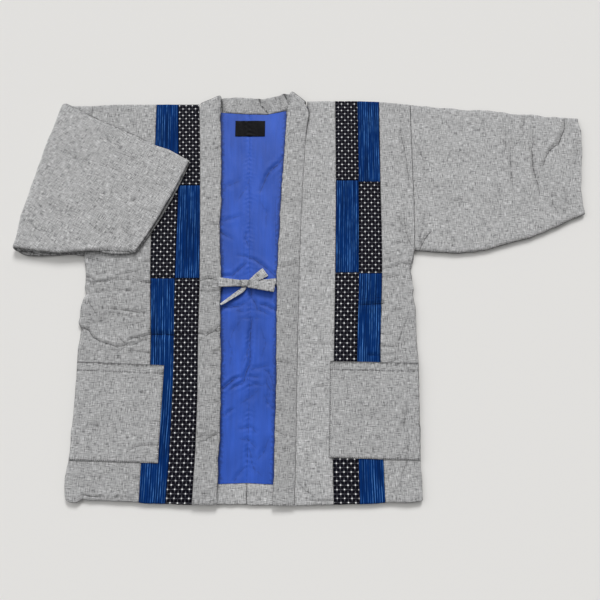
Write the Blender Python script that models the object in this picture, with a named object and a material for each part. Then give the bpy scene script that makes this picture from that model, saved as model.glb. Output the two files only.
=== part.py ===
"""A padded hanten jacket lying face up on a flat surface, with its right sleeve folded forward.

Metres, +Z up. X runs across the garment and Y from hem to shoulder. "Right" and "left" are the
wearer's, so the right half lies at -X. The origin is under the middle of the whole outline.
"""

from collections import namedtuple
import math

import bmesh
import bpy
from mathutils import Vector
import numpy as np

# Layers, from the surface up
GAP = 0.0003
BACK_THICK = 0.0047
LAYER_2 = BACK_THICK + GAP
FRONT_THICK = 0.0050
FRONT_TOP = LAYER_2 + FRONT_THICK
LINING_THICK = 0.0016
LINING_TOP = LAYER_2 + LINING_THICK
LINING_DIP = 0.0008
POCKET_THICK = 0.0022
POCKET_INSET = 0.0012
LABEL_THICK = 0.0006
COLLAR_THICK = 0.0066
COLLAR_BASE = LINING_TOP + GAP

# Sleeves are flat tubes as deep as the two layers of the body
SLEEVE_DEEP = FRONT_TOP
SLEEVE_WALL = 0.0046
SLEEVE_PUFF = 0.0022
CUFF_BOW = 0.0055
CUFF_WAVE = 0.0050
FOLD_HOLLOW = 0.0040
LEFT_SLEEVE_SECTIONS = 14

# Rounding and seams
EDGE_ROUND = 0.0050
EDGE_DROP = 0.85
HEM_DROP = 0.4
BACK_HEM_INSET = 0.0008
FACING_HEM_INSET = 0.0012
UNDERARM = 0.0630
SEAM_WIDE = 0.0060
SEAM_DEEP = 0.0011
CELL = 0.040
LINE_CLEAR = 0.012

# The tie band, doubled cloth
TIE_THICK = 0.0018
TIE_EDGE = 0.45
TIE_COLUMNS = (0.0, 0.12, 0.5, 0.88, 1.0)
KNOT_SIZE = (0.0200, 0.0128, 0.0084)
KNOT_ROUND = 0.0034
LOOP_OPEN = 0.0012
LOOP_RISE = 0.0006

UP = Vector((0.0, 0.0, 1.0))

# Material name, colour, roughness
GREY_CLOTH = ("grey", (0.42, 0.42, 0.41), 0.9)
STRIPE_CLOTH = ("stripe", (0.008, 0.060, 0.235), 0.85)
KASURI_CLOTH = ("kasuri", (0.035, 0.035, 0.05), 0.85)
LINING_CLOTH = ("lining", (0.045, 0.115, 0.52), 0.45)
LABEL_CLOTH = ("label", (0.012, 0.012, 0.014), 0.6)


def table(columns, *rows):
    """Rows of named columns."""
    row_type = namedtuple("Row", columns)
    return [row_type(*row) for row in rows]


# Where a seam or an outline stands: at y, its x
RIGHT_SIDE = table(
    "y x",
    (0.4000, -0.4552), (0.2300, -0.4510), (0.0600, -0.4462), (0.0280, -0.4425),
    (-0.0010, -0.4400), (-0.0300, -0.4400), (-0.0590, -0.4450), (-0.0850, -0.4470),
    (-0.1000, -0.4412), (-0.1430, -0.4440), (-0.3040, -0.4440), (-0.3810, -0.4480),
    (-0.4300, -0.4450),
)
LEFT_SIDE = table(
    "y x",
    (0.4000, 0.2275), (0.2550, 0.2265), (0.0690, 0.2230), (0.0450, 0.2185),
    (-0.0010, 0.2155), (-0.0300, 0.2160), (-0.0870, 0.2210), (-0.1160, 0.2195),
    (-0.2250, 0.2205), (-0.2780, 0.2180), (-0.3560, 0.2185), (-0.4300, 0.2180),
)
RIGHT_OUTER_SEAM = table(
    "y x",
    (0.4100, -0.3176), (0.3030, -0.3155), (0.1120, -0.3130), (0.0100, -0.3090),
    (-0.1640, -0.2995), (-0.3500, -0.3060), (-0.4300, -0.3060),
)
RIGHT_MID_SEAM = table(
    "y x",
    (0.4100, -0.2712), (0.2120, -0.2625), (0.0100, -0.2600), (-0.2240, -0.2535),
    (-0.3320, -0.2540), (-0.4300, -0.2568),
)
RIGHT_COLLAR_SEAM = table(
    "y x",
    (0.4100, -0.2262), (0.3700, -0.2240), (0.2920, -0.2200), (0.1780, -0.2155), (0.0060, -0.2100),
    (-0.0960, -0.2090), (-0.2330, -0.2055), (-0.3320, -0.2055), (-0.4300, -0.2085),
)
RIGHT_FREE_EDGE = table(
    "y x",
    (0.4100, -0.1790), (0.3660, -0.1780), (0.1640, -0.1720), (0.1180, -0.1735),
    (0.0130, -0.1665), (-0.0360, -0.1675), (-0.1500, -0.1620), (-0.3000, -0.1605),
    (-0.4300, -0.1612),
)
LEFT_COLLAR_SEAM = table(
    "y x",
    (0.4120, 0.0062), (0.3950, 0.0088), (0.3720, 0.0105), (0.3430, 0.0055), (0.2780, 0.0005),
    (0.2050, -0.0040), (0.0730, -0.0090), (-0.1360, -0.0140), (-0.3080, -0.0165),
    (-0.4300, -0.0190),
)
LEFT_FREE_EDGE = table(
    "y x",
    (0.4100, -0.0360), (0.3290, -0.0400), (0.1970, -0.0473), (0.0780, -0.0530),
    (0.0130, -0.0554), (-0.1510, -0.0550), (-0.2620, -0.0555), (-0.3500, -0.0580),
    (-0.4300, -0.0594),
)
LEFT_INNER_SEAM = table(
    "y x",
    (0.4120, 0.0672), (0.2230, 0.0660), (0.0270, 0.0620), (-0.1560, 0.0570),
    (-0.3450, 0.0525), (-0.4300, 0.0535),
)
LEFT_MID_SEAM = table(
    "y x",
    (0.4120, 0.1146), (0.2230, 0.1130), (0.0270, 0.1095), (-0.1560, 0.1015),
    (-0.3450, 0.1003), (-0.4300, 0.1012),
)
LEFT_OUTER_SEAM = table(
    "y x",
    (0.4120, 0.1612), (0.2230, 0.1585), (0.0270, 0.1560), (-0.1560, 0.1470),
    (-0.3450, 0.1470), (-0.4300, 0.1484),
)
CENTRE_SEAM = table(
    "y x",
    (0.4000, -0.1175), (0.0450, -0.1110), (-0.0760, -0.1067), (-0.4300, -0.1078),
)

# Where a line that runs across the garment lies: at x, its y
HEM = table(
    "x y",
    (-0.4480, -0.4120), (-0.4380, -0.4190), (-0.3900, -0.4212), (-0.3010, -0.4230), (-0.2345, -0.4240),
    (-0.1680, -0.4262), (-0.1010, -0.4258), (-0.0127, -0.4276), (0.0540, -0.4264),
    (0.1430, -0.4225), (0.2080, -0.4205), (0.2185, -0.4150),
)
RIGHT_SHOULDER = table("x y", (-0.4560, 0.3975), (-0.4270, 0.4000), (-0.3240, 0.4012), (-0.2240, 0.4012))
LEFT_SHOULDER = table("x y", (0.0060, 0.4085), (0.0900, 0.4095), (0.1680, 0.4072), (0.2280, 0.4002))
NECK_SEAM = table(
    "x y",
    (-0.2251, 0.3898), (-0.1970, 0.3852), (-0.1740, 0.3812), (-0.1178, 0.3778),
    (-0.0800, 0.3772), (-0.0380, 0.3860), (0.0066, 0.3960),
)
NECK_FREE_EDGE = table(
    "x y",
    (-0.1730, 0.4170), (-0.1210, 0.4165), (-0.0975, 0.4145), (-0.0870, 0.4120), (-0.0670, 0.4175),
    (-0.0440, 0.4262),
)
FACING_TOP = table("x y", (-0.2100, -0.3905), (-0.1078, -0.3868), (-0.0180, -0.3920))

# Where the patches of a strip meet, counted from the shoulder
RIGHT_TIERS = (0.2120, 0.0100)
LEFT_TIERS = (0.2230, 0.0270)

# The line that the collar folds over on, beside the neck: its seam end and its free end
RIGHT_COLLAR_FOLD = (Vector((-0.2214, 0.3942, 0.0)), Vector((-0.1797, 0.4132, 0.0)))
LEFT_COLLAR_FOLD = (Vector((0.0012, 0.4008, 0.0)), Vector((-0.0272, 0.4240, 0.0)))
COLLAR_TURN_FROM = 0.382

# How the collar thins out at its two ends, at the hem: the share of its thickness left there
COLLAR_ENDS = table("inset share", (0.0, 0.30), (0.0015, 0.72), (0.0045, 1.0))
COLLAR_WIDE = 0.044
NECK_SECTIONS = 10
NECK_SEAM_ENDS = (-0.1975, -0.0225)

# Sections of the left sleeve from armhole to cuff: its shoulder point and its underarm point
LEFT_SLEEVE = table(
    "top_x top_y under_x under_y",
    (0.2278, 0.3995, 0.2235, 0.0695), (0.2710, 0.3975, 0.2620, 0.0645),
    (0.3225, 0.3915, 0.3135, 0.0625), (0.3740, 0.3885, 0.3650, 0.0670),
    (0.4254, 0.3842, 0.4153, 0.0820), (0.4765, 0.3782, 0.4650, 0.1000),
    (0.5275, 0.3722, 0.5160, 0.1195), (0.5700, 0.3702, 0.5550, 0.1386),
    (0.5859, 0.3698, 0.5778, 0.1494),
)
# Sections of the right sleeve: first flat from the armhole to its fold, then back over the front
RIGHT_SLEEVE_UNDER = table(
    "top_x top_y under_x under_y",
    (-0.4556, 0.3972, -0.4468, 0.0570), (-0.4750, 0.3980, -0.4900, 0.0585),
    (-0.4950, 0.3983, -0.5350, 0.0600), (-0.5129, 0.3984, -0.5811, 0.0715),
)
RIGHT_SLEEVE_OVER = table(
    "top_x top_y under_x under_y",
    (-0.5129, 0.3984, -0.5811, 0.0715), (-0.4823, 0.3838, -0.5400, 0.0655),
    (-0.4467, 0.3648, -0.4950, 0.0605), (-0.4124, 0.3487, -0.4560, 0.0630),
    (-0.3579, 0.3238, -0.4100, 0.0655), (-0.3148, 0.3001, -0.3800, 0.0642),
    (-0.2830, 0.2890, -0.3600, 0.0635), (-0.2403, 0.2637, -0.3403, 0.0625),
)

# The largest creases, as troughs from one end to the other
CREASE_ROWS = (-0.1360, -0.1270, -0.1180, -0.1090, -0.1000, -0.0910, -0.0820)
BODY_CREASES = table(
    "x0 y0 x1 y1 deep wide",
    (-0.4460, -0.0880, -0.3720, -0.1230, 0.0026, 0.0100),
    (-0.3720, -0.1230, -0.3450, -0.1200, 0.0024, 0.0100),
    (-0.3600, -0.1200, -0.1700, -0.0980, 0.0022, 0.0090),
    (-0.4380, 0.0090, -0.3700, 0.0160, 0.0018, 0.0070),
    (-0.4200, 0.0260, -0.3300, 0.0480, 0.0012, 0.0090),
    (-0.4100, -0.0160, -0.3300, -0.0120, 0.0012, 0.0090),
    (-0.3900, -0.0500, -0.3160, -0.0600, 0.0016, 0.0070),
    (-0.4300, -0.0680, -0.3500, -0.0720, 0.0010, 0.0090),
    (0.1600, 0.0300, 0.2160, 0.0520, 0.0012, 0.0080),
    (0.1500, -0.0700, 0.2180, -0.0480, 0.0014, 0.0080),
    (0.1950, 0.2900, 0.2180, 0.1000, 0.0014, 0.0080),
    (0.0150, 0.3950, 0.0120, 0.3400, 0.0016, 0.0060),
)
SLEEVE_CREASES = table(
    "x0 y0 x1 y1 deep wide",
    (0.4450, 0.3100, 0.4520, 0.1900, 0.0014, 0.0090),
    (0.4950, 0.3500, 0.5080, 0.1850, 0.0022, 0.0100),
    (0.5720, 0.3600, 0.5250, 0.2700, 0.0020, 0.0080),
    (0.5300, 0.2200, 0.5360, 0.1550, 0.0014, 0.0080),
    (0.2280, 0.0760, 0.2560, 0.1080, 0.0022, 0.0070),
    (0.2420, 0.3000, 0.2520, 0.2100, 0.0010, 0.0090),
)
LINING_CREASES = table(
    "x0 y0 x1 y1 deep wide",
    (-0.0480, 0.2750, -0.0950, 0.1800, 0.0008, 0.0080),
    (-0.1100, 0.0250, -0.1480, -0.0100, 0.0007, 0.0070),
    (-0.0950, 0.0500, -0.0550, 0.0250, 0.0007, 0.0070),
    (-0.1560, -0.1850, -0.1150, -0.1500, 0.0008, 0.0080),
    (-0.1150, -0.1500, -0.1080, -0.1000, 0.0007, 0.0070),
    (-0.0950, -0.0400, -0.0600, -0.0650, 0.0007, 0.0070),
)
NECK_CREASES = table(
    "x deep wide",
    (-0.0900, 0.0020, 0.0060), (-0.0660, 0.0012, 0.0050), (-0.1480, 0.0008, 0.0080),
)

# Each stretch of the ties, from the knot outwards: the middle of the band, its width,
# and how far it is tipped on its edge, in degrees
TIE_STRETCHES = {
    "tie_right_stand": table(
        "x y z wide tip",
        (-0.1303, 0.0000, 0.0083, 0.0090, 0.0), (-0.1450, 0.0010, 0.0084, 0.0120, 0.0),
        (-0.1580, 0.0015, 0.0094, 0.0130, 0.0), (-0.1655, 0.0015, 0.0102, 0.0130, 0.0),
    ),
    "tie_left_stand": table(
        "x y z wide tip",
        (-0.1087, -0.0020, 0.0081, 0.0090, 0.0), (-0.0900, 0.0000, 0.0081, 0.0120, 0.0),
        (-0.0700, 0.0020, 0.0090, 0.0130, 0.0), (-0.0566, 0.0030, 0.0102, 0.0130, 0.0),
    ),
    "tie_upper_tail": table(
        "x y z wide tip",
        (-0.1085, 0.0020, 0.0104, 0.0090, 0.0), (-0.1000, 0.0075, 0.0104, 0.0140, 0.0),
        (-0.0900, 0.0150, 0.0098, 0.0185, 0.0), (-0.0780, 0.0235, 0.0086, 0.0200, 0.0),
    ),
    "tie_lower_tail": table(
        "x y z wide tip",
        (-0.1170, -0.0108, 0.0098, 0.0092, 2.0), (-0.1205, -0.0142, 0.0100, 0.0108, 12.0),
        (-0.1300, -0.0198, 0.0104, 0.0115, 24.0), (-0.1450, -0.0300, 0.0106, 0.0110, 34.0),
        (-0.1580, -0.0400, 0.0114, 0.0080, 36.0),
        (-0.1665, -0.0462, 0.0140, 0.0050, 22.0),
    ),
}
# Each loop of the bow: where it leaves the knot and where it turns back, with both widths
TIE_LOOPS = table(
    "name knot_x knot_y knot_z end_x end_y end_z knot_wide end_wide",
    ("tie_right_loop", -0.1303, -0.0020, 0.0120, -0.1710, -0.0010, 0.0163, 0.0100, 0.0190),
    ("tie_left_loop", -0.1087, -0.0045, 0.0128, -0.0590, -0.0105, 0.0138, 0.0110, 0.0205),
)
KNOT_AT = (-0.1195, -0.0014, LINING_TOP + GAP + KNOT_SIZE[2] / 2)

# Pocket corners away from the side seam, and how high the top and bottom edges meet it
POCKETS = table(
    "name top_x top_y bottom_x bottom_y side_top_y side_bottom_y",
    ("pocket_right", -0.2720, -0.1665, -0.2740, -0.3512, -0.1590, -0.3455),
    ("pocket_left", 0.0495, -0.1585, 0.0450, -0.3410, -0.1620, -0.3460),
)
LABEL_BOX = {"left": -0.1470, "right": -0.0835, "bottom": 0.3250, "top": 0.3620}


def along(rows, of, want, where):
    """The value of column `want` where column `of` is `where`, smoothly between the rows."""
    pairs = sorted((getattr(row, of), getattr(row, want)) for row in rows)
    xs = np.array([p[0] for p in pairs])
    ys = np.array([p[1] for p in pairs])
    slope = np.gradient(ys, xs)
    i = int(np.clip(np.searchsorted(xs, where) - 1, 0, len(xs) - 2))
    width = xs[i + 1] - xs[i]
    t = float(np.clip((where - xs[i]) / width, 0.0, 1.0))
    rise = ys[i + 1] - ys[i]
    ease = t * t * (3 - 2 * t)
    pull = width * (slope[i] * t * (1 - t) ** 2 - slope[i + 1] * t * t * (1 - t))
    mean = rise / width
    limit = 3.0 * abs(rise)
    steep = max(abs(slope[i] - mean), abs(slope[i + 1] - mean)) * width
    share = 1.0 if steep <= limit else limit / steep
    return float(ys[i] + rise * (share * ease + (1 - share) * t) + share * pull)


def x_of(rows):
    """A seam as a function of y."""
    return lambda y: along(rows, "y", "x", y)


def y_of(rows):
    """A line across the garment as a function of x."""
    return lambda x: along(rows, "x", "y", x)


def straight(x0, y0, x1, y1):
    """The straight line through two points, as a function of the first coordinate."""
    return lambda x: y0 + (y1 - y0) * (x - x0) / (x1 - x0)


def polyline(rows):
    """Straight lines through a table's points, as a function of x."""
    return lambda x: float(np.interp(x, [row.x for row in rows], [row.y for row in rows]))


def crease(rows, x, y):
    """How far the creases sink the cloth at this place. Each is shallower towards its ends."""
    sunk = 0.0
    for row in rows:
        run = Vector((row.x1 - row.x0, row.y1 - row.y0))
        reach = Vector((x - row.x0, y - row.y0))
        t = min(1.0, max(0.0, reach.dot(run) / run.length_squared))
        off = (reach - run * t).length / row.wide
        fade = 0.35 + 0.65 * math.sin(math.pi * t)
        sunk = max(sunk, row.deep * fade * math.exp(-off * off))
    return sunk


def rounding(distance, thick):
    """How far a face draws in at this distance from a rounded edge, where it stands a little off upright."""
    if distance >= EDGE_ROUND:
        return 0.0
    inwards = 1.0 - max(0.0, distance) / EDGE_ROUND
    return thick * (1.0 - math.sqrt(1.0 - 0.97 * inwards * inwards))


def stations(length, step, start=(), end=()):
    """Shares of a length: close together near its ends where asked, and about a step apart between."""
    first, last = (start[-1] if start else 0.0), (end[-1] if end else 0.0)
    count = max(1, round((length - first - last) / step))
    middle = [first + (length - first - last) * k / count for k in range(count + 1)]
    before = [0.0, *start[:-1]] if start else []
    after = [length - e for e in reversed(end[:-1])] + [length] if end else []
    return [place / length for place in before + middle + after]


def cloth_material(name, colour, roughness):
    """A matt cloth material."""
    material = bpy.data.materials.get(name) or bpy.data.materials.new(name)
    material.use_nodes = True
    shader = material.node_tree.nodes["Principled BSDF"]
    shader.inputs["Base Color"].default_value = (*colour, 1.0)
    shader.inputs["Roughness"].default_value = roughness
    shader.inputs["Metallic"].default_value = 0.0
    return material


def finish(name, bm, fabric):
    """Turns the faces outwards and makes the named object."""
    bmesh.ops.recalc_face_normals(bm, faces=bm.faces)
    if bm.calc_volume(signed=True) < 0.0:
        bmesh.ops.reverse_faces(bm, faces=bm.faces)
    mesh = bpy.data.meshes.new(name)
    bm.to_mesh(mesh)
    bm.free()
    mesh.materials.append(cloth_material(*fabric))
    mesh.shade_smooth()
    mesh.set_sharp_from_angle(angle=math.radians(50))
    piece = bpy.data.objects.new(name, mesh)
    bpy.context.collection.objects.link(piece)
    return piece


def cloth(name, fabric, columns, rows, place, tube=False):
    """One piece: a flat grid given a second face, then moved point by point.

    columns and rows are shares from 0 to 1, and place(column, row, upper) gives each point.
    A tube's first and last columns are the same line.
    """
    bm = bmesh.new()
    bmesh.ops.create_grid(bm, x_segments=len(columns) - 1, y_segments=len(rows) - 1, size=1.0)
    upper = bmesh.ops.extrude_face_region(bm, geom=bm.faces[:], use_keep_orig=True)["geom"]
    raised = [v for v in upper if isinstance(v, bmesh.types.BMVert)]
    bmesh.ops.translate(bm, verts=raised, vec=UP)
    if tube:
        seam = [f for f in bm.faces if all(abs(abs(v.co.x) - 1.0) < 1e-6 for v in f.verts)]
        bmesh.ops.delete(bm, geom=seam, context="FACES")
    for v in bm.verts:
        column = round((v.co.x + 1.0) / 2.0 * (len(columns) - 1))
        row = round((v.co.y + 1.0) / 2.0 * (len(rows) - 1))
        v.co = place(columns[column], rows[row], v.co.z > 0.5)
    if tube:
        bmesh.ops.remove_doubles(bm, verts=bm.verts, dist=1e-6)
    return finish(name, bm, fabric)


def with_lines(shares, wanted):
    """Adds grid lines at the wanted shares, in place of any that they come too near."""
    kept = [s for s in shares if s in (0.0, 1.0) or all(abs(s - w) > LINE_CLEAR for w in wanted)]
    return sorted(kept + [w for w in wanted if 0.0 < w < 1.0])


def panel(name, fabric, left, right, bottom, top, faces, near, step=CELL, at_x=(), at_y=()):
    """A piece bounded by two seams and two lines across.

    left and right give x at y, bottom and top give y at x, and faces(x, y, upper) gives z.
    near names, for the left, right, bottom and top edges, the distances that get grid lines.
    at_x (along the top) and at_y (down the middle) name more places that get them.
    """
    middle_x = (left(0.0) + right(0.0)) / 2
    middle_y = (bottom(middle_x) + top(middle_x)) / 2
    wide = right(middle_y) - left(middle_y)
    long = top(middle_x) - bottom(middle_x)

    def place(column, row, upper):
        x, y = middle_x, middle_y
        for _ in range(6):
            x = left(y) + (right(y) - left(y)) * column
            y = bottom(x) + (top(x) - bottom(x)) * row
        return Vector((x, y, faces(x, y, upper)))

    columns = stations(wide, step, near[0], near[1])
    rows = stations(long, step, near[2], near[3])
    across = [(x - left(top(x))) / (right(top(x)) - left(top(x))) for x in at_x]
    columns = with_lines(columns, [share for share in across if 0.0 < share < 1.0])
    rows = with_lines(rows, [(y - bottom(middle_x)) / long for y in at_y])
    return cloth(name, fabric, columns, rows, place)


# Where grid lines stand beside an edge
ROUND_NEAR = (0.0012, EDGE_ROUND)
SEAM_NEAR = (SEAM_WIDE,)
POCKET_NEAR = (0.0014, EDGE_ROUND - POCKET_INSET)

right_side, left_side = x_of(RIGHT_SIDE), x_of(LEFT_SIDE)
hem = y_of(HEM)
centre_seam = x_of(CENTRE_SEAM)


neck_seam = polyline(NECK_SEAM)


def shoulder(x):
    """The shoulder fold, and the neck seam between the two shoulders."""
    if x < NECK_SEAM[0].x:
        return along(RIGHT_SHOULDER, "x", "y", x)
    if x > NECK_SEAM[-1].x:
        return along(LEFT_SHOULDER, "x", "y", x)
    return neck_seam(x) - GAP


FRONT_SEAMS = (RIGHT_OUTER_SEAM, RIGHT_MID_SEAM, RIGHT_COLLAR_SEAM, LEFT_COLLAR_SEAM,
               LEFT_INNER_SEAM, LEFT_MID_SEAM, LEFT_OUTER_SEAM)


def seam_dip(distance):
    """How far the padding draws down beside a seam."""
    share = min(1.0, abs(distance) / SEAM_WIDE)
    return SEAM_DEEP * (1.0 - share * share * (3 - 2 * share))


def side_distance(x, y):
    """How far a place lies inside the nearer side edge."""
    return min(x - right_side(y), left_side(y) - x)


def open_edge(x, y):
    """The distance to the nearest rounded edge: the shoulder, or a side below the armhole."""
    below = max(0.0, y - UNDERARM) * 4.0
    return min(shoulder(x) - y if not NECK_SEAM[0].x < x < NECK_SEAM[-1].x else 1.0,
               side_distance(x, y) + below)


def front_face(x, y, upper):
    """Height of a front's upper or under face."""
    outer = open_edge(x, y)
    at_hem = y - hem(x)
    if not upper:
        return LAYER_2 + rounding(at_hem, HEM_DROP * FRONT_THICK)
    seams = [along(rows, "y", "x", y) for rows in FRONT_SEAMS]
    nearest = min(side_distance(x, y), *(abs(x - seam) for seam in seams))
    in_strip = seams[0] < x < seams[2] or seams[4] < x < seams[6]
    tiers = RIGHT_TIERS if x < seams[2] else LEFT_TIERS
    if in_strip:
        nearest = min(nearest, *(abs(y - tier) for tier in tiers))
    sunk = max(seam_dip(nearest), crease(BODY_CREASES, x, y))
    sunk = max(sunk, rounding(outer, EDGE_DROP * FRONT_THICK), rounding(at_hem, HEM_DROP * FRONT_THICK))
    return FRONT_TOP - sunk


def back_face(x, y, upper):
    """Height of the back's upper or under face. The under face is flat but for its round edges."""
    outer = open_edge(x, y)
    at_hem = y - hem(x)
    if upper:
        return BACK_THICK
    return max(rounding(outer, EDGE_DROP * BACK_THICK), rounding(at_hem, HEM_DROP * BACK_THICK))


def lining_face(x, y, upper):
    """Height of the lining, sunk along the centre seam and its creases."""
    if not upper:
        return LAYER_2
    middle = max(0.0, 1.0 - abs(x - centre_seam(y)) / SEAM_WIDE)
    return LINING_TOP - max(LINING_DIP * middle, crease(LINING_CREASES, x, y))


def beside(seam, offset):
    """A seam line moved sideways."""
    return lambda y: seam(y) + offset


def make_back():
    """The two halves of the back, which the whole body rests on."""
    bottom = lambda x: hem(x) + BACK_HEM_INSET
    plain = 2 * CELL
    step_in = 0.0002
    corners = (NECK_SEAM[0].x - step_in, *(row.x for row in NECK_SEAM), NECK_SEAM[-1].x + step_in)
    panel("back_right", GREY_CLOTH, right_side, beside(centre_seam, -GAP / 2), bottom, shoulder,
          back_face, (ROUND_NEAR, (), ROUND_NEAR, ROUND_NEAR), plain, at_x=corners)
    panel("back_left", GREY_CLOTH, beside(centre_seam, GAP / 2), left_side, bottom, shoulder,
          back_face, ((), ROUND_NEAR, ROUND_NEAR, ROUND_NEAR), plain, at_x=corners)


def make_lining():
    """The lining that shows between the fronts, the hem turned up below it, and the label."""
    left = beside(x_of(RIGHT_COLLAR_SEAM), 4 * GAP)
    right = beside(x_of(LEFT_COLLAR_SEAM), -4 * GAP)
    facing_top = polyline(FACING_TOP)
    above_facing = lambda x: facing_top(x) + GAP
    below_neck = lambda x: neck_seam(x) - GAP
    corners = [row.x for row in NECK_SEAM]
    panel("lining_right", LINING_CLOTH, left, beside(centre_seam, -GAP / 2), above_facing, below_neck,
          lining_face, ((), SEAM_NEAR, (), ()), at_x=corners)
    panel("lining_left", LINING_CLOTH, beside(centre_seam, GAP / 2), right, above_facing, below_neck,
          lining_face, (SEAM_NEAR, (), (), ()), at_x=corners)
    facing_bottom = lambda x: hem(x) + FACING_HEM_INSET
    facing_face = lambda x, y, upper: LAYER_2 + (LINING_THICK if upper else 0.0)
    panel("hem_facing_right", GREY_CLOTH, left, beside(centre_seam, -GAP / 2), facing_bottom,
          facing_top, facing_face, ((), (), (), ()))
    panel("hem_facing_left", GREY_CLOTH, beside(centre_seam, GAP / 2), right, facing_bottom,
          facing_top, facing_face, ((), (), (), ()))
    box = LABEL_BOX
    panel("neck_label", LABEL_CLOTH, lambda y: box["left"], lambda y: box["right"],
          lambda x: box["bottom"], lambda x: box["top"],
          lambda x, y, upper: LINING_TOP + GAP + (LABEL_THICK if upper else 0.0), ((), (), (), ()))


def make_strip(name, first_cloth, second_cloth, left, right, tiers, at_y=()):
    """Three patches in a column, from the shoulder down, in two cloths turn about."""
    lines = [shoulder, *((lambda x, tier=tier: tier) for tier in tiers), hem]
    for k in range(3):
        first, last = k == 0, k == 2
        top = lines[k] if first else (lambda x, line=lines[k]: line(x) - GAP / 2)
        bottom = lines[k + 1] if last else (lambda x, line=lines[k + 1]: line(x) + GAP / 2)
        fabric = first_cloth if k % 2 == 0 else second_cloth
        near = (SEAM_NEAR, SEAM_NEAR, ROUND_NEAR if last else SEAM_NEAR, ROUND_NEAR if first else SEAM_NEAR)
        panel(f"{name}_{k + 1}", fabric, beside(left, GAP / 2), beside(right, -GAP / 2), bottom, top,
              front_face, near, at_y=at_y if last else ())


def make_fronts():
    """Both fronts, each pieced from grey panels and two patchwork strips."""
    stripe, kasuri = STRIPE_CLOTH, KASURI_CLOTH
    right_outer, right_mid, right_collar = map(x_of, FRONT_SEAMS[:3])
    left_collar, left_inner, left_mid, left_outer = map(x_of, FRONT_SEAMS[3:])
    panel("right_front_side", GREY_CLOTH, right_side, beside(right_outer, -GAP / 2), hem, shoulder,
          front_face, (ROUND_NEAR, SEAM_NEAR, ROUND_NEAR, ROUND_NEAR), at_y=CREASE_ROWS)
    make_strip("right_front_outer", stripe, kasuri, right_outer, right_mid, RIGHT_TIERS, CREASE_ROWS)
    make_strip("right_front_inner", kasuri, stripe, right_mid, right_collar, RIGHT_TIERS, CREASE_ROWS)
    panel("left_front_edge", GREY_CLOTH, beside(left_collar, GAP / 2), beside(left_inner, -GAP / 2), hem,
          shoulder, front_face, (SEAM_NEAR, SEAM_NEAR, ROUND_NEAR, ROUND_NEAR),
          at_y=[row.y for row in LEFT_COLLAR_SEAM])
    make_strip("left_front_inner", kasuri, stripe, left_inner, left_mid, LEFT_TIERS)
    make_strip("left_front_outer", stripe, kasuri, left_mid, left_outer, LEFT_TIERS)
    panel("left_front_side", GREY_CLOTH, beside(left_outer, GAP / 2), left_side, hem, shoulder, front_face,
          (SEAM_NEAR, ROUND_NEAR, ROUND_NEAR, ROUND_NEAR))


def pocket_face(x, y, upper):
    """A pocket follows the front it lies on, without its seams."""
    base = FRONT_TOP - rounding(side_distance(x, y), EDGE_DROP * FRONT_THICK) + GAP
    return base + (POCKET_THICK if upper else 0.0)


def make_pockets():
    """The two patch pockets, each caught in a side seam and open at the top."""
    for row in POCKETS:
        inner = straight(row.bottom_y, row.bottom_x, row.top_y, row.top_x)
        if row.top_x < 0.0:
            left, right = beside(right_side, POCKET_INSET), inner
            near = (POCKET_NEAR, (), (), ())
        else:
            left, right = inner, beside(left_side, -POCKET_INSET)
            near = ((), POCKET_NEAR, (), ())
        outer_x = left(row.top_y) if row.top_x < 0.0 else right(row.top_y)
        bottom = straight(outer_x, row.side_bottom_y, row.bottom_x, row.bottom_y)
        top = straight(outer_x, row.side_top_y, row.top_x, row.top_y)
        panel(row.name, GREY_CLOTH, left, right, bottom, top, pocket_face, near)


Section = namedtuple("Section", "start end normal")


def turned(fold, height, radius, side, share):
    """A section part of the way round a fold, at 0 before it and at 1 lying the other way up.

    side is +1 for a fold that begins on its upper side and -1 for one that begins below.
    """
    start, end = fold
    across = (end - start).normalized()
    outward = Vector((-across.y, across.x, 0.0))
    angle = math.pi * share
    normal = UP * math.cos(angle) + outward * (side * math.sin(angle))
    centre = UP * height + normal * (side * radius)
    return Section(start + centre, end + centre, normal)


def flat(line, height, normal, towards=None, share=0.0):
    """A section that lies flat on a line, or part of the way from it towards another line."""
    start, end = line
    if towards:
        start, end = start.lerp(towards[0], share), end.lerp(towards[1], share)
    return Section(start + UP * height, end + UP * height, normal)


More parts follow.
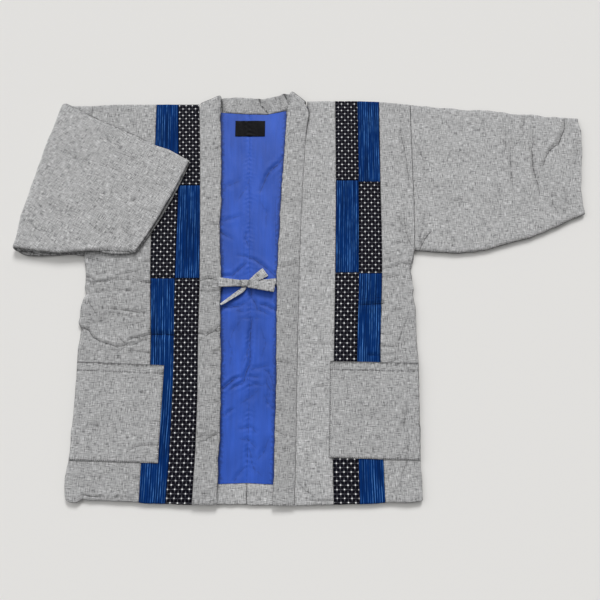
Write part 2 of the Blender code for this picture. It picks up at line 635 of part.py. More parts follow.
def collar_sections():
    """The collar from the right hem, round the neck, to the left hem, each from seam to free edge."""
    upper = COLLAR_BASE + COLLAR_THICK / 2
    lower = COLLAR_THICK / 2
    radius, middle = (upper - lower) / 2, (upper + lower) / 2
    down = UP * -1.0

    def front(seam, free, offset):
        lines = []
        low = hem((seam[-1].x + free[-1].x) / 2)
        turns_at = {row.y for row in seam + free if low + 0.02 < row.y < COLLAR_TURN_FROM - 0.008}
        for y in (*(low + row.inset for row in COLLAR_ENDS), *sorted(turns_at), COLLAR_TURN_FROM):
            lines.append((Vector((along(seam, "y", "x", y) + offset, y, 0.0)),
                          Vector((along(free, "y", "x", y), y, 0.0))))
        return lines

    right = front(RIGHT_COLLAR_SEAM, RIGHT_FREE_EDGE, GAP)
    left = front(LEFT_COLLAR_SEAM, LEFT_FREE_EDGE, -GAP)
    turns = [k / 5 for k in range(1, 5)]
    sections = [flat(line, upper, UP) for line in right]
    sections += [flat(right[-1], upper, UP, RIGHT_COLLAR_FOLD, k / 3) for k in (1, 2, 3)]
    sections += [turned(RIGHT_COLLAR_FOLD, middle, radius, 1, share) for share in turns]
    sections.append(flat(RIGHT_COLLAR_FOLD, lower, down))
    neck_free = y_of(NECK_FREE_EDGE)
    seam_from, seam_to = NECK_SEAM_ENDS
    free_from, free_to = NECK_FREE_EDGE[0].x, NECK_FREE_EDGE[-1].x
    for k in range(NECK_SECTIONS + 1):
        seam_x = seam_from + (seam_to - seam_from) * k / NECK_SECTIONS
        free_x = free_from + (free_to - free_from) * k / NECK_SECTIONS
        start = Vector((seam_x, neck_seam(seam_x) + 2 * GAP, 0.0))
        sections.append(flat((start, Vector((free_x, neck_free(free_x), 0.0))), lower, down))
    sections.append(flat(LEFT_COLLAR_FOLD, lower, down))
    for share in reversed(turns):
        sections.append(backwards(turned(LEFT_COLLAR_FOLD[::-1], middle, radius, 1, share)))
    sections += [flat(left[-1], upper, UP, LEFT_COLLAR_FOLD, k / 3) for k in (3, 2, 1)]
    sections += [flat(line, upper, UP) for line in reversed(left)]
    return sections


def backwards(section):
    """The same section with its ends changed over."""
    return Section(section.end, section.start, section.normal)


def make_collar():
    """The padded band sewn to both front edges and round the neck, folded over beside the neck."""
    sections = collar_sections()
    columns = stations(COLLAR_WIDE, 0.4 * COLLAR_WIDE, (0.0014, EDGE_ROUND), (0.0014, EDGE_ROUND))
    last = len(sections) - 1
    rows = [k / last for k in range(last + 1)]

    def place(column, row, upper):
        index = round(row * last)
        section = sections[index]
        distance = min(column, 1.0 - column) * COLLAR_WIDE
        half = COLLAR_THICK / 2 - rounding(distance, HEM_DROP * COLLAR_THICK)
        half *= COLLAR_ENDS[min(index, last - index, len(COLLAR_ENDS) - 1)].share
        point = section.start.lerp(section.end, column)
        if section.normal.z < -0.99 and not upper:
            dips = [dip.deep * math.exp(-(((point.x - dip.x) / dip.wide) ** 2)) for dip in NECK_CREASES]
            half -= max(dips) * min(1.0, 2.0 * column)
        return point + section.normal * (half if upper else -half)

    return cloth("collar", GREY_CLOTH, columns, rows, place)


def tube_point(section, column, outer):
    """A point on a flat tube's wall, its share across, and whether it is on the first layer.

    Columns run over the first layer, which faces along the section's normal, and back on the second.
    """
    width = (section.end - section.start).length
    first_layer = column < 0.5
    turn = 2.0 * column if first_layer else 2.0 - 2.0 * column
    across = share = 0.5 - 0.5 * math.cos(math.pi * turn)
    radius = SLEEVE_DEEP / 2
    if outer:
        distance = min(share, 1.0 - share) * width
        half = math.sqrt(radius ** 2 - max(0.0, radius - distance) ** 2)
    else:
        inset = SLEEVE_WALL / width
        distance = min(share, 1.0 - share) * (width - 2 * SLEEVE_WALL)
        share = inset + (1.0 - 2 * inset) * share
        hollow = radius - SLEEVE_WALL
        half = hollow * math.sqrt(1.0 - max(0.0, 1.0 - distance / SLEEVE_WALL) ** 2)
    point = section.start.lerp(section.end, share)
    return point + section.normal * (half if first_layer else -half), across, first_layer


def row_points(row):
    """A section's two ends in plan."""
    return Vector((row.top_x, row.top_y, 0.0)), Vector((row.under_x, row.under_y, 0.0))


def sections_between(rows, count, height, normal):
    """Evenly spaced sections through the table's rows."""
    found = []
    for k in range(count + 1):
        where = (len(rows) - 1) * k / count
        i = min(int(where), len(rows) - 2)
        found.append(flat(row_points(rows[i]), height, normal, row_points(rows[i + 1]), where - i))
    return found


def puff(across, along_it):
    """How far a sleeve's upper layer rises above flat."""
    return SLEEVE_PUFF * math.sqrt(max(0.0, math.sin(math.pi * across) * math.sin(math.pi * along_it)))


SLEEVE_COLUMNS = [k / 20 for k in range(21)]


def make_left_sleeve():
    """The sleeve that is laid out: a flat tube from the armhole to the open cuff."""
    last = LEFT_SLEEVE_SECTIONS
    sections = sections_between(LEFT_SLEEVE, last, SLEEVE_DEEP / 2, UP)
    rows = [k / last for k in range(last + 1)]

    def place(column, row, outer):
        section = sections[round(row * last)]
        point, across, first_layer = tube_point(section, column, outer)
        if first_layer:
            rise = puff(across, row)
            point.z += rise - min(rise, crease(SLEEVE_CREASES, point.x, point.y))
        point.x += CUFF_WAVE * row ** 6 * math.sin(2 * math.pi * across ** 0.7)
        if row == 0.0:
            point.x = left_side(point.y) + GAP
        return point

    return cloth("sleeve_left", GREY_CLOTH, SLEEVE_COLUMNS, rows, place, tube=True)


def make_right_sleeve():
    """The sleeve that is folded forward: a flat tube that turns over and lies back on the front."""
    low = SLEEVE_DEEP / 2
    high = SLEEVE_DEEP + GAP + SLEEVE_DEEP / 2
    radius, middle = (high - low) / 2, (high + low) / 2
    fold = row_points(RIGHT_SLEEVE_UNDER[-1])
    under = sections_between(RIGHT_SLEEVE_UNDER, 3, low, UP)
    turns = [backwards(turned(fold[::-1], middle, radius, -1, k / 6)) for k in range(1, 6)]
    over = sections_between(RIGHT_SLEEVE_OVER, 11, high, UP * -1.0)
    sections = under + turns + over
    last = len(sections) - 1
    rows = [k / last for k in range(last + 1)]
    fold_index = len(under) + len(turns) // 2
    first_over = len(under) + len(turns)

    def place(column, row, outer):
        index = round(row * last)
        section = sections[index]
        point, across, first_layer = tube_point(section, column, outer)
        reach = max(0.0, (index - first_over) / (last - first_over))
        if not first_layer:
            point.z += puff(across, reach)
        run = (section.end - section.start).normalized()
        sideways = Vector((-run.y, run.x, 0.0))
        near_fold = max(0.0, 1.0 - abs(index - fold_index) / (last - fold_index))
        point += sideways * (math.sin(math.pi * across) * (CUFF_BOW * reach ** 3 - FOLD_HOLLOW * near_fold))
        if index == 0:
            point.x = right_side(point.y) - GAP
        return point

    return cloth("sleeve_right", GREY_CLOTH, SLEEVE_COLUMNS, rows, place, tube=True)


def band(name, spine, level=None):
    """A stretch of the tie: a flat band along a line of (middle, width, tip) places.

    level keeps the band's width along one direction, as a loop's is.
    """
    last = len(spine) - 1

    def place(column, row, upper):
        k = round(row * last)
        middle, wide, tip = spine[k]
        ahead, behind = spine[min(k + 1, last)][0], spine[max(k - 1, 0)][0]
        tangent = (ahead - behind).normalized()
        sideways = level or Vector((-tangent.y, tangent.x, 0.0)).normalized()
        normal = tangent.cross(sideways)
        tilt = math.radians(tip)
        across = sideways * math.cos(tilt) + normal * math.sin(tilt)
        face = normal * math.cos(tilt) - sideways * math.sin(tilt)
        half = TIE_THICK / 2 * (TIE_EDGE if column in (0.0, 1.0) else 1.0)
        return middle + across * ((column - 0.5) * wide) + face * (half if upper else -half)

    return cloth(name, GREY_CLOTH, TIE_COLUMNS, [k / last for k in range(last + 1)], place)


def smooth_spine(rows, count):
    """Places along a stretch, smoothly between its table's rows."""
    spine = []
    for k in range(count + 1):
        where = (len(rows) - 1) * k / count
        i = min(int(where), len(rows) - 2)
        t = where - i
        values = [np.interp(where, range(len(rows)), [getattr(row, column) for row in rows])
                  for column in ("wide", "tip")]
        points = [Vector((rows[j].x, rows[j].y, rows[j].z)) for j in
                  (max(i - 1, 0), i, i + 1, min(i + 2, len(rows) - 1))]
        middle = 0.5 * ((2 * points[1]) + (points[2] - points[0]) * t
                        + (2 * points[0] - 5 * points[1] + 4 * points[2] - points[3]) * t * t
                        + (3 * points[1] - points[0] - 3 * points[2] + points[3]) * t ** 3)
        spine.append((middle, float(values[0]), float(values[1])))
    return spine


def make_loop(row):
    """A loop of the bow: out from the knot, round, and back above itself."""
    knot = Vector((row.knot_x, row.knot_y, row.knot_z))
    end = Vector((row.end_x, row.end_y, row.end_z))
    radius = (TIE_THICK + LOOP_OPEN) / 2
    run = (end - knot).normalized()
    turn_at = end - run * (radius + TIE_THICK / 2)
    widen = row.end_wide - row.knot_wide
    out, back = [], []
    for k in range(6):
        share = k / 6
        wide = row.knot_wide + widen * share ** 0.6
        rise = UP * (2 * radius + LOOP_RISE * math.sin(math.pi * share))
        out.append((knot.lerp(turn_at, share), wide, 0.0))
        back.insert(0, (knot.lerp(turn_at, share) + rise, wide, 0.0))
    bend = []
    for k in range(7):
        angle = math.pi * k / 6
        reach = run * (radius * math.sin(angle)) + UP * (radius - radius * math.cos(angle))
        bend.append((turn_at + reach, row.end_wide, 0.0))
    sideways = Vector((-run.y, run.x, 0.0)).normalized()
    return band(row.name, out + bend + back, sideways)


def make_ties():
    """The bow: its knot, and each stretch of the two ties that leaves it."""
    for name, rows in TIE_STRETCHES.items():
        band(name, smooth_spine(rows, 8))
    for row in TIE_LOOPS:
        make_loop(row)
    bm = bmesh.new()
    bmesh.ops.create_cube(bm, size=1.0)
    bmesh.ops.scale(bm, vec=KNOT_SIZE, verts=bm.verts)
    bmesh.ops.bevel(bm, geom=bm.edges[:] + bm.verts[:], offset=KNOT_ROUND, segments=3, profile=0.5,
                    affect="EDGES", clamp_overlap=True, material=-1)
    bmesh.ops.translate(bm, verts=bm.verts, vec=KNOT_AT)
    finish("tie_knot", bm, GREY_CLOTH)


def main():
    """Clears the scene and makes every piece."""
    for obj in list(bpy.data.objects):
        bpy.data.objects.remove(obj)
    make_back()
    make_lining()
    make_fronts()
    make_pockets()
    make_collar()
    make_left_sleeve()
    make_right_sleeve()
    make_ties()


main()
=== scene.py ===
"""The looks of a padded hanten jacket that lies face up, with its right sleeve folded forward.

Metres, +Z up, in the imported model's frame: +X to the wearer's left, +Y from hem to shoulders.
"Right" and "left" are the wearer's, so the right half lies at -X.
"""

from collections import namedtuple
import math

import bmesh
import bpy
from bpy.props import FloatProperty, FloatVectorProperty, PointerProperty
from mathutils import Matrix, Vector
import numpy as np


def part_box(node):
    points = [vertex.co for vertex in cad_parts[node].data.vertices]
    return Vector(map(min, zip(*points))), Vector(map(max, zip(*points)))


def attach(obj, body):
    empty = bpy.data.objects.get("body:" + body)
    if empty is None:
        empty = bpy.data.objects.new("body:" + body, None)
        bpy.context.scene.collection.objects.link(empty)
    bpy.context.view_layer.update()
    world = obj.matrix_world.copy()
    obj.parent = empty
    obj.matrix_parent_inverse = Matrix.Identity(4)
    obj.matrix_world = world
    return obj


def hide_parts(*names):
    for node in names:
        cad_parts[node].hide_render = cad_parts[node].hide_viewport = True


bl_info = {
    "name": "Hanten jacket, laid flat",
    "version": (1, 0, 0),
    "blender": (4, 5, 0),
    "location": "3D View > Sidebar > Hanten",
    "description": "Makes the cloth, ties and stitches of a padded hanten jacket on its model",
    "category": "Object",
}

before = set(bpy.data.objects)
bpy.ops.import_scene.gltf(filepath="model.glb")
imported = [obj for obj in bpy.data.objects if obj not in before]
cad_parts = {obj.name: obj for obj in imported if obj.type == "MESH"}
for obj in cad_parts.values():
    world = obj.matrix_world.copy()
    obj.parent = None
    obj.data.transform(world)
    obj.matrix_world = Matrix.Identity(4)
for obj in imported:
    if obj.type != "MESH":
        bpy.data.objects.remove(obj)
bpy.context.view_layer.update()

UP = Vector((0.0, 0.0, 1.0))
GAP = 0.0003  # air between layers that lie on each other
FAR = 0.02  # a distance to a seam that is well out of its shade
CREASE_LIP, LIP_WIDE, LIP_HIGH = 1.9, 1.1, 0.36  # beside a crease, in its widths and depths
FULL_CREASE = 2.2  # millimetres of depth from which a crease shows in full
NARROW_CREASE = 3.2  # millimetres of width whose line of shade is drawn at its own size
SIDE_REACH = 0.018  # how far in from the body's side edges their puckers reach
HEM_REACH = 0.014  # the same for the hem and for the left sleeve's folds
FINE_PUCKER = 0.3  # share of the edge pucker's size that its fine waves have
ROUND_SIDE, ROUND_HEM = 0.85, 0.45  # shares of its thickness by which a panel's fold draws in
ROUND_COLLAR, ROUND_COLLAR_END = 0.42, 0.30  # the same for the collar
POCKET_THICK, LABEL_THICK = 0.0022, 0.0006
POCKET_HEM = 0.0168  # from a pocket's opening to its line of stitches
STITCH_INSET = 0.0018  # from a pocket's sewn edge to its line of stitches
STITCH_HALF = (0.00040, 0.00022)  # half of a stitch's width and height
STRIPE_PITCH = 0.0043
KASURI_REPEAT = (0.0137, 0.0158)  # across and along
UNDERARM = 0.063  # y of the armholes' lower ends, where the side edges end
COLLAR_WIDE = 0.044
COLLAR_MIDDLE = -0.11  # x between the collar's right and left sides
SLEEVE_WIDE, FLAP_WIDE = 0.32, 0.30  # widths of the laid out and the folded sleeve, laid flat
CUFF_STEP = 0.0034  # how far the folded cuff's lower layer shows past the upper one
TIE_PULL = 0.0055  # how far the bow draws its ends in towards the knot
CAMERA_TARGET = Vector((-0.009, -0.033, 0.0))
FLOOR_HALF = 6.0

# Painted shade: how much darker than the rest these pieces are below y = 0, and the share of that
# which is left from DARKER_UP_TO upwards
DARKER = {
    "collar": 0.15, "pocket_right": 0.09, "pocket_left": 0.09, "right_front_side": 0.11,
    "left_front_side": 0.07,
}
DARKER_UP_TO, DARKER_ABOVE = 0.15, 0.3


def table(columns, *rows):
    """Rows of named columns."""
    row_type = namedtuple("Row", columns)
    return [row_type(*row) for row in rows]


# How far puckers move sewn edges and folds, in millimetres: where along the edge in +X or +Y,
# and the move across it
RIGHT_EDGE_MOVES = (
    (-413, 4.6), (-403, 2), (-381, 0.9), (-349, 3.8), (-315, 3.8), (-293, 1.5), (-282, 2.9),
    (-248, 3.1), (-190, 2.9), (-155, 1.6), (-131, 2), (-119, 4.5), (-95, 6.7), (-83, 1.2), (-71, 2),
    (-59, 0), (-46, -0.4), (-34, 1.2), (-22, 5.4), (-9, 0.6), (3, 2), (29, 2.6), (41, 1.4),
    (54, -2.6),
)
LEFT_EDGE_MOVES = (
    (-406, -0.6), (-374, -0.2), (-363, -2.2), (-286, 0.8), (-274, -0.6), (-252, 0.4), (-217, -0.4),
    (-159, 1.8), (-123, -0.8), (-87, -0.8), (-51, 2.4), (-26, -0.6), (-13, 2.4), (12, -1.4),
    (24, -4.6), (50, -2.6), (63, 1),
)
HEM_MOVES = (
    (-435, -3.4), (-422, -3.2), (-411, 4.2), (-396, 3), (-370, 3.6), (-318, 2.2), (-292, -0.2),
    (-188, -1.1), (-175, -1.1), (-150, 1.1), (-137, -0.5), (-124, 0.7), (-98, -1.1), (32, 1.2),
    (96, 0.5), (122, -0.7), (161, 0.7), (187, -2.3), (213, -1.8),
)
LEFT_SLEEVE_TOP_MOVES = (
    (233, 1), (248, -0.7), (263, -0.7), (278, -2.4), (293, -2.4), (308, -0.2), (323, 0),
    (338, -2.4), (353, -2.9), (368, -0.5), (398, 0.2), (413, -1.4), (428, -1.2), (442, -3.4),
    (457, -3.4), (487, 0.5), (502, -0.2), (517, -2.4), (532, -0.2), (577, -1.9),
)
LEFT_SLEEVE_UNDER_MOVES = (
    (231, 0), (245, 1.1), (259, 1.3), (288, 1.3), (302, 0.2), (330, 1.5), (345, 0.6), (359, 2.8),
    (373, 1.7), (403, 2.4), (432, 1.1), (461, -2.4), (476, -1.1), (491, -1.7), (506, 0.2),
    (521, -0.2), (536, 0.7), (551, 0.7), (566, -1.1),
)
RIGHT_SLEEVE_UNDER_MOVES = (
    (-581, -4), (-578, -6.2), (-567, -8.8), (-557, -7.9), (-536, -3), (-496, 0.2), (-486, 2.1),
    (-466, 3), (-455, 0.6),
)
FLAP_LIP_MOVES = (
    (-430, 0), (-418, -1), (-402, -4.5), (-385, -6.2), (-368, -5.8), (-352, -3.6), (-338, -1),
    (-326, 0),
)

# The same for the cuffs and the folded sleeve's fold, with the place along each in thousandths of
# the way from shoulder to underarm, and the move to +X
LEFT_CUFF_MOVES = (
    (0, 0), (43, -0.9), (151, 4.7), (258, 3.2), (311, 4), (416, 3), (468, 0.8), (573, -1.3),
    (624, -1.3), (727, -4.6), (778, -4.8), (880, -2.9), (930, -3.1), (1000, 0),
)
RIGHT_FOLD_MOVES = (
    (-7, 5.8), (38, 3.6), (212, 1.3), (255, -1.1), (340, -2.3), (425, -1.9), (467, -3.1),
    (509, -2.5), (592, -3.7), (674, -3.5), (795, -5.1), (915, -0.2), (955, 0.2), (1000, -1),
)
RIGHT_CUFF_MOVES = (
    (0, 0), (150, 3), (350, 5), (600, 5.5), (850, 3), (1000, 0),
)

# The unevenness of each surface, slow and fine: its height, its wavelength and its seed
COLLAR_UNEVEN = ((0.00045, 0.038, 51), (0.00020, 0.013, 52))
LEFT_SLEEVE_UNEVEN = ((0.00060, 0.060, 61), (0.00022, 0.018, 62))
RIGHT_SLEEVE_UNEVEN = ((0.00070, 0.070, 71), (0.00022, 0.020, 72))
TIE_UNEVEN = ((0.00022, 0.009, 81), (0.00012, 0.004, 82))

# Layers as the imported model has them
FRONT_BASE, FRONT_TOP = (corner.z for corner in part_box("left_front_edge"))
FRONT_ROUND = ROUND_SIDE * (FRONT_TOP - FRONT_BASE)
LINING_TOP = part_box("hem_facing_left")[1].z
COLLAR_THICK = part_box("collar")[1].z - LINING_TOP - GAP
SLEEVE_DEEP = FRONT_TOP
SLEEVE_WALL = 0.0046

# Grid lines beside an edge, counted inwards from it
FOLD_LINES = (0.0, 0.0005, 0.0014, 0.0028, 0.0050)
SEAM_LINES = (0.0, 0.0009, 0.0020, 0.0036)
EDGE_LINES = {"fold": FOLD_LINES, "seam": SEAM_LINES, "plain": (0.0,)}


def strip(node, *cloths):
    """A front's strip of three patches from the shoulder to the hem."""
    return [
        (f"{node}_{number}", cloth, "seam", "seam", "fold" if number == 3 else "seam",
         "fold" if number == 1 else "seam", 0)
        for number, cloth in enumerate(cloths, start=1)
    ]


# Every cut panel: its cloth, the kind of each edge, and the turn of its weave in degrees
PANELS = table(
    "node cloth left right bottom top turn",
    ("back_right", "grey", "fold", "seam", "fold", "fold", 0),
    ("back_left", "grey", "seam", "fold", "fold", "fold", 0),
    ("lining_right", "lining", "plain", "seam", "plain", "plain", 0),
    ("lining_left", "lining", "seam", "plain", "plain", "plain", 0),
    ("hem_facing_right", "grey", "plain", "seam", "fold", "seam", 90),
    ("hem_facing_left", "grey", "seam", "plain", "fold", "seam", 90),
    ("right_front_side", "grey", "fold", "seam", "fold", "fold", 0),
    *strip("right_front_outer", "stripe", "kasuri", "stripe"),
    *strip("right_front_inner", "kasuri", "stripe", "kasuri"),
    ("left_front_edge", "grey", "seam", "seam", "fold", "fold", 0),
    *strip("left_front_inner", "kasuri", "stripe", "kasuri"),
    *strip("left_front_outer", "stripe", "kasuri", "stripe"),
    ("left_front_side", "grey", "seam", "fold", "fold", "fold", 0),
)

# Creases in millimetres: the width of each, and places along it with x, y and the depth there
BODY_CREASES = (
    (2, (-412, -410, 1), (-396, -413, 2.2), (-382, -414, 1.8), (-372, -413, 0.5)),
    (3, (-354, -417, 1), (-345, -413, 2), (-337, -417, 1)),
    (1.6, (-262, -419, 0.6), (-202, -419, 1.5), (-172, -418, 1.5)),
    (2, (5, -418, 0.8), (25, -419, 1.6), (50, -419, 1.3)),
    (3, (-440, 13, 2), (-430, 11, 2.2), (-421, 7, 1.2)),
    (3.2, (-435, 4, 0.8), (-423, 2, 1.6), (-409, 3, 2.4), (-395, 4, 2.4), (-383, 8, 1.6),
     (-373, 7, 0.7), (-349, 7, 0.6), (-331, 4, 1.1), (-321, 1, 2.4), (-309, 1, 2.8)),
    (3.4, (-418, 17, 0.6), (-400, 22, 0.9), (-391, 25, 0.3)),
    (3.4, (-376, 16, 0.5), (-366, 19, 1), (-352, 22, 1), (-332, 27, 0.6)),
    (3.2, (-348, 17, 0.4), (-337, 10, 1), (-325, 2, 0.9)),
    (3.2, (-419, -18, 0.4), (-405, -18, 1), (-393, -17, 0.7)),
    (3.2, (-374, -16, 0.5), (-358, -16, 1.5), (-346, -16, 1.5), (-334, -15, 0.6)),
    (3.2, (-409, -52, 0.3), (-385, -53, 1.1), (-365, -55, 1.6), (-345, -58, 1.8), (-327, -61, 1.5),
     (-311, -62, 0.6)),
    (2.9, (-439, -93, 2.6), (-428, -96, 3), (-422, -103, 2.9), (-414, -111, 2.6), (-400, -119, 2.4),
     (-384, -124, 2.1), (-366, -130, 1.9), (-358, -131, 1.1)),
    (2.7, (-363, -111, 0.6), (-355, -119, 1.5), (-348, -126, 2.2), (-352, -132, 1.8),
     (-359, -137, 1.5), (-375, -136, 0.8)),
    (2.7, (-366, -130, 1.5), (-356, -128, 2.1), (-348, -126, 2.2), (-337, -126, 1.6),
     (-325, -122, 1.5), (-318, -117, 1.2), (-304, -115, 0.6)),
    (2.9, (-345, -117, 1.7), (-338, -113, 2.4), (-322, -110, 2.4), (-311, -107, 2.8),
     (-302, -105, 3)),
    (6, (-302, -105, 2.8), (-279, -105, 2.6), (-256, -106, 2.2)),
    (3, (-256, -106, 1.4), (-230, -105, 1), (-209, -103, 1.6)),
    (3.2, (-338, -136, 0.6), (-320, -140, 1.3), (-303, -142, 1.5)),
    (5, (-393, -1, 0.4), (-390, -17, 0.8), (-390, -36, 0.4)),
    (4, (-439, -40, 0.8), (-425, -44, 1), (-418, -54, 1.3), (-412, -64, 0.5)),
    (7, (-405, -68, 0.3), (-380, -62, 0.6), (-352, -66, 0.4)),
    (5, (-380, -36, 0.3), (-373, -52, 0.7), (-368, -72, 0.3)),
    (3.6, (-439, 54, 1.2), (-422, 48, 1.1), (-404, 44, 0.5)),
    (3.6, (-344, 50, 0.5), (-329, 44, 0.9), (-313, 45, 1.1)),
    (6, (-430, -81, 0.6), (-414, -81, 0.9), (-395, -76, 0.4)),
    (6, (-363, -81, 0.3), (-339, -85, 0.6), (-316, -78, 0.4)),
    (5, (112, -45, 1.4), (130, -44, 2.4), (154, -42, 2.6)),
    (6, (114, -34, 0.5), (134, -32, 0.9), (152, -30, 0.8)),
    (4, (127, -146, 1.6), (135, -146, 1.6), (145, -146, 0.6)),
    (4, (156, 29, 0.7), (168, 32, 1.1), (178, 34, 1.3), (192, 39, 0.8)),
    (4, (159, 13, 0.9), (171, 12, 1.2), (189, 16, 0.8)),
    (4, (184, 36, 0.7), (200, 41, 1), (215, 41, 1.2)),
    (3.4, (182, 84, 0.7), (196, 85, 1.2), (214, 84, 0.8)),
    (4, (203, 329, 0.5), (209, 310, 1.5), (212, 289, 1.2), (214, 269, 0.8), (216, 243, 1.4),
     (218, 212, 0.4)),
    (4, (205, 167, 0.4), (205, 130, 1), (207, 112, 1.5), (211, 95, 1.4), (218, 78, 0.9)),
    (5, (194, 147, 0.3), (199, 117, 0.8), (206, 88, 0.4)),
    (4, (175, -58, 0.4), (191, -54, 0.7)),
    (3.2, (152, -104, 0.9), (161, -105, 1.2), (173, -104, 0.4)),
    (3.2, (149, -128, 1.2), (163, -129, 1.6), (176, -131, 0.8)),
    (3.2, (150, -144, 0.7), (164, -147, 1), (178, -144, 0.4)),
    (3.2, (165, -160, 1.1), (175, -157, 1.1), (183, -153, 0.4)),
    (5, (204, -70, 0.3), (193, -93, 1.1), (184, -117, 1), (182, -142, 0.4)),
    (4, (199, -97, 0.3), (194, -113, 0.9), (196, -127, 0.3)),
    (5, (195, -241, 0.5), (192, -262, 1.2), (188, -279, 1.2), (189, -292, 0.3)),
    (5, (196, -307, 0.5), (193, -327, 1.1), (191, -341, 0.4)),
    (4, (194, -340, 0.7), (187, -356, 1.3), (180, -372, 0.4)),
    (5, (178, -378, 0.3), (178, -392, 1), (183, -401, 0.3)),
    (3, (7, -123, 0.6), (30, -124, 0.9), (51, -125, 0.9)),
    (3, (24, -207, 1.2), (35, -207, 1.6)),
    (3, (-5, -114, 0.5), (3, -113, 0.9)),
    (3, (2, -245, 0.6), (20, -245, 0.8)),
    (4, (-11, -387, 0.4), (0, -399, 1.1), (9, -405, 1.1), (17, -413, 0.6)),
    (3.2, (-3, -386, 0.5), (13, -388, 0.8), (26, -388, 0.6)),
    (3.6, (-1, 31, 0.5), (9, 36, 0.9), (17, 43, 0.5)),
    (3.6, (15, 50, 0.4), (27, 53, 0.7)),
    (5, (-428, -310, 0.5), (-426, -301, 0.9), (-423, -292, 0.4)),
    # This row is painted shade along the left collar's seam near the neck, drawn as a trough
    (3, (6, 401, 2), (10, 381, 3), (9, 362, 3), (5, 343, 2.4), (2, 322, 1)),
    (5, (-419, -267, 0.4), (-407, -279, 0.7), (-393, -286, 0.4)),
)
COLLAR_CREASES = (
    (3.4, (-210, 4, 1.8), (-203, 6, 2.2), (-195, 8, 2.5), (-185, 8, 2), (-176, 4, 1.2)),
    (3.6, (-204, -5, 0.4), (-190, -6, 0.7), (-176, -4, 0.5)),
    (3.4, (-207, -18, 0.8), (-192, -19, 1.1), (-176, -17, 1.4)),
    (3.4, (-207, -104, 2), (-192, -105, 1.5)),
    (3.4, (-191, -108, 2.4), (-186, -103, 2.8), (-179, -101, 2.6), (-167, -99, 2.4)),
    (3.2, (-177, -97, 1.8), (-171, -92, 2.4), (-166, -88, 1.8)),
    (3.4, (-203, -304, 1.4), (-195, -301, 1.2), (-180, -298, 0.8)),
    (3.4, (-196, -311, 1), (-185, -309, 1.8), (-178, -304, 2), (-167, -298, 1.6), (-161, -296, 1)),
    (4, (-201, -285, 0.4), (-186, -289, 0.6)),
    (3.6, (-175, -239, 0.6), (-164, -236, 1.4)),
    (3.6, (-178, -139, 0.5), (-166, -137, 1.2)),
    (4, (-213, 226, 0.5), (-198, 230, 0.8), (-184, 228, 0.4)),
    (4, (-205, 295, 0.4), (-192, 292, 0.7), (-180, 297, 1.2)),
    (4, (-209, 120, 0.6), (-195, 124, 0.9), (-176, 124, 1.4)),
    (3.8, (-53, -159, 1.4), (-42, -160, 1), (-30, -162, 0.4)),
    (3.8, (-45, 32, 0.7), (-31, 37, 1), (-15, 41, 0.6)),
    (4, (-48, 177, 0.5), (-34, 172, 0.7), (-17, 177, 0.4)),
    (4, (-41, 318, 0.3), (-28, 330, 0.9), (-15, 332, 0.5)),
    (4, (-55, -251, 1.2), (-45, -253, 0.6), (-36, -251, 0.3)),
    (4, (-52, -292, 1), (-39, -299, 0.6)),
    (8.5, (-98, 419, 2.8), (-95, 407, 3), (-89, 396, 2.9), (-81, 385, 2.7), (-76, 378, 2)),
    (3, (-89, 392, 1.3), (-93, 380, 0.9)),
    (3, (-63, 419, 1.8), (-60, 411, 1.6), (-62, 405, 0.7)),
    (5, (-87, 414, 0.5), (-82, 403, 0.8), (-74, 396, 0.4)),
    # These three rows are painted shade beside the collar's turns at the neck, drawn as troughs
    (6, (-175, 381, 3.4), (-177, 396, 2.8), (-178, 410, 2), (-176, 417, 1.4)),
    (10, (-43, 427, 2.8), (-39, 419, 3.4), (-34, 410, 2.8), (-34, 403, 1)),
    (5, (-35, 408, 1.2), (-36, 384, 1.4)),
    (5, (-147, 415, 0.4), (-145, 401, 0.6), (-147, 386, 0.4)),
    (4, (-113, 415, 0.4), (-110, 403, 0.7), (-112, 391, 0.4)),
    (4, (-54, 417, 0.6), (-50, 405, 0.8), (-50, 393, 0.4)),
)
SLEEVE_CREASES = (
    (8, (486, 347, 0.3), (484, 323, 0.7), (482, 300, 0.8), (482, 268, 0.6)),
    (4.6, (483, 307, 0.9), (479, 291, 1.7), (479, 272, 2.4), (479, 254, 3), (480, 243, 3.3),
     (482, 229, 2.6), (486, 213, 1.8), (487, 193, 0.7)),
    (4.2, (556, 359, 1.2), (552, 342, 1.9), (543, 323, 2.7), (537, 307, 3), (527, 300, 2.8),
     (517, 291, 2.4), (507, 275, 1.8), (500, 256, 1.5), (501, 247, 0.5)),
    (3.8, (434, 293, 0.4), (432, 263, 1.4), (432, 245, 1.8), (432, 227, 1.7), (432, 209, 0.8)),
    (6, (427, 345, 0.6), (427, 319, 1), (425, 300, 0.9), (417, 275, 0.4)),
    (5.5, (470, 366, 0.7), (465, 342, 1.1), (465, 328, 0.8), (454, 314, 0.9), (444, 300, 0.4)),
    (5.5, (517, 206, 0.4), (514, 186, 1.3), (514, 168, 1.3), (521, 153, 0.5)),
    (4, (244, 300, 0.5), (244, 286, 1), (247, 277, 0.8), (252, 261, 0.3)),
    (5, (251, 256, 0.6), (251, 240, 1.3), (253, 227, 0.4)),
    (3.2, (256, 107, 1.8), (246, 94, 3), (239, 81, 3.3), (233, 68, 3.4)),
    (7, (247, 146, 0.4), (240, 116, 0.9), (234, 88, 0.8)),
    (5, (383, 361, 0.4), (382, 342, 0.7), (385, 328, 0.3)),
    (6, (400, 211, 0.3), (406, 177, 0.6), (402, 151, 0.3)),
    (7, (311, 291, 0.3), (334, 284, 0.6), (357, 288, 0.3)),
    (7, (292, 166, 0.3), (313, 177, 0.6), (337, 171, 0.3)),
    (6, (574, 309, 0.4), (571, 281, 0.7), (566, 256, 0.4)),
    (6, (542, 200, 0.3), (545, 171, 0.7), (537, 151, 0.3)),
)
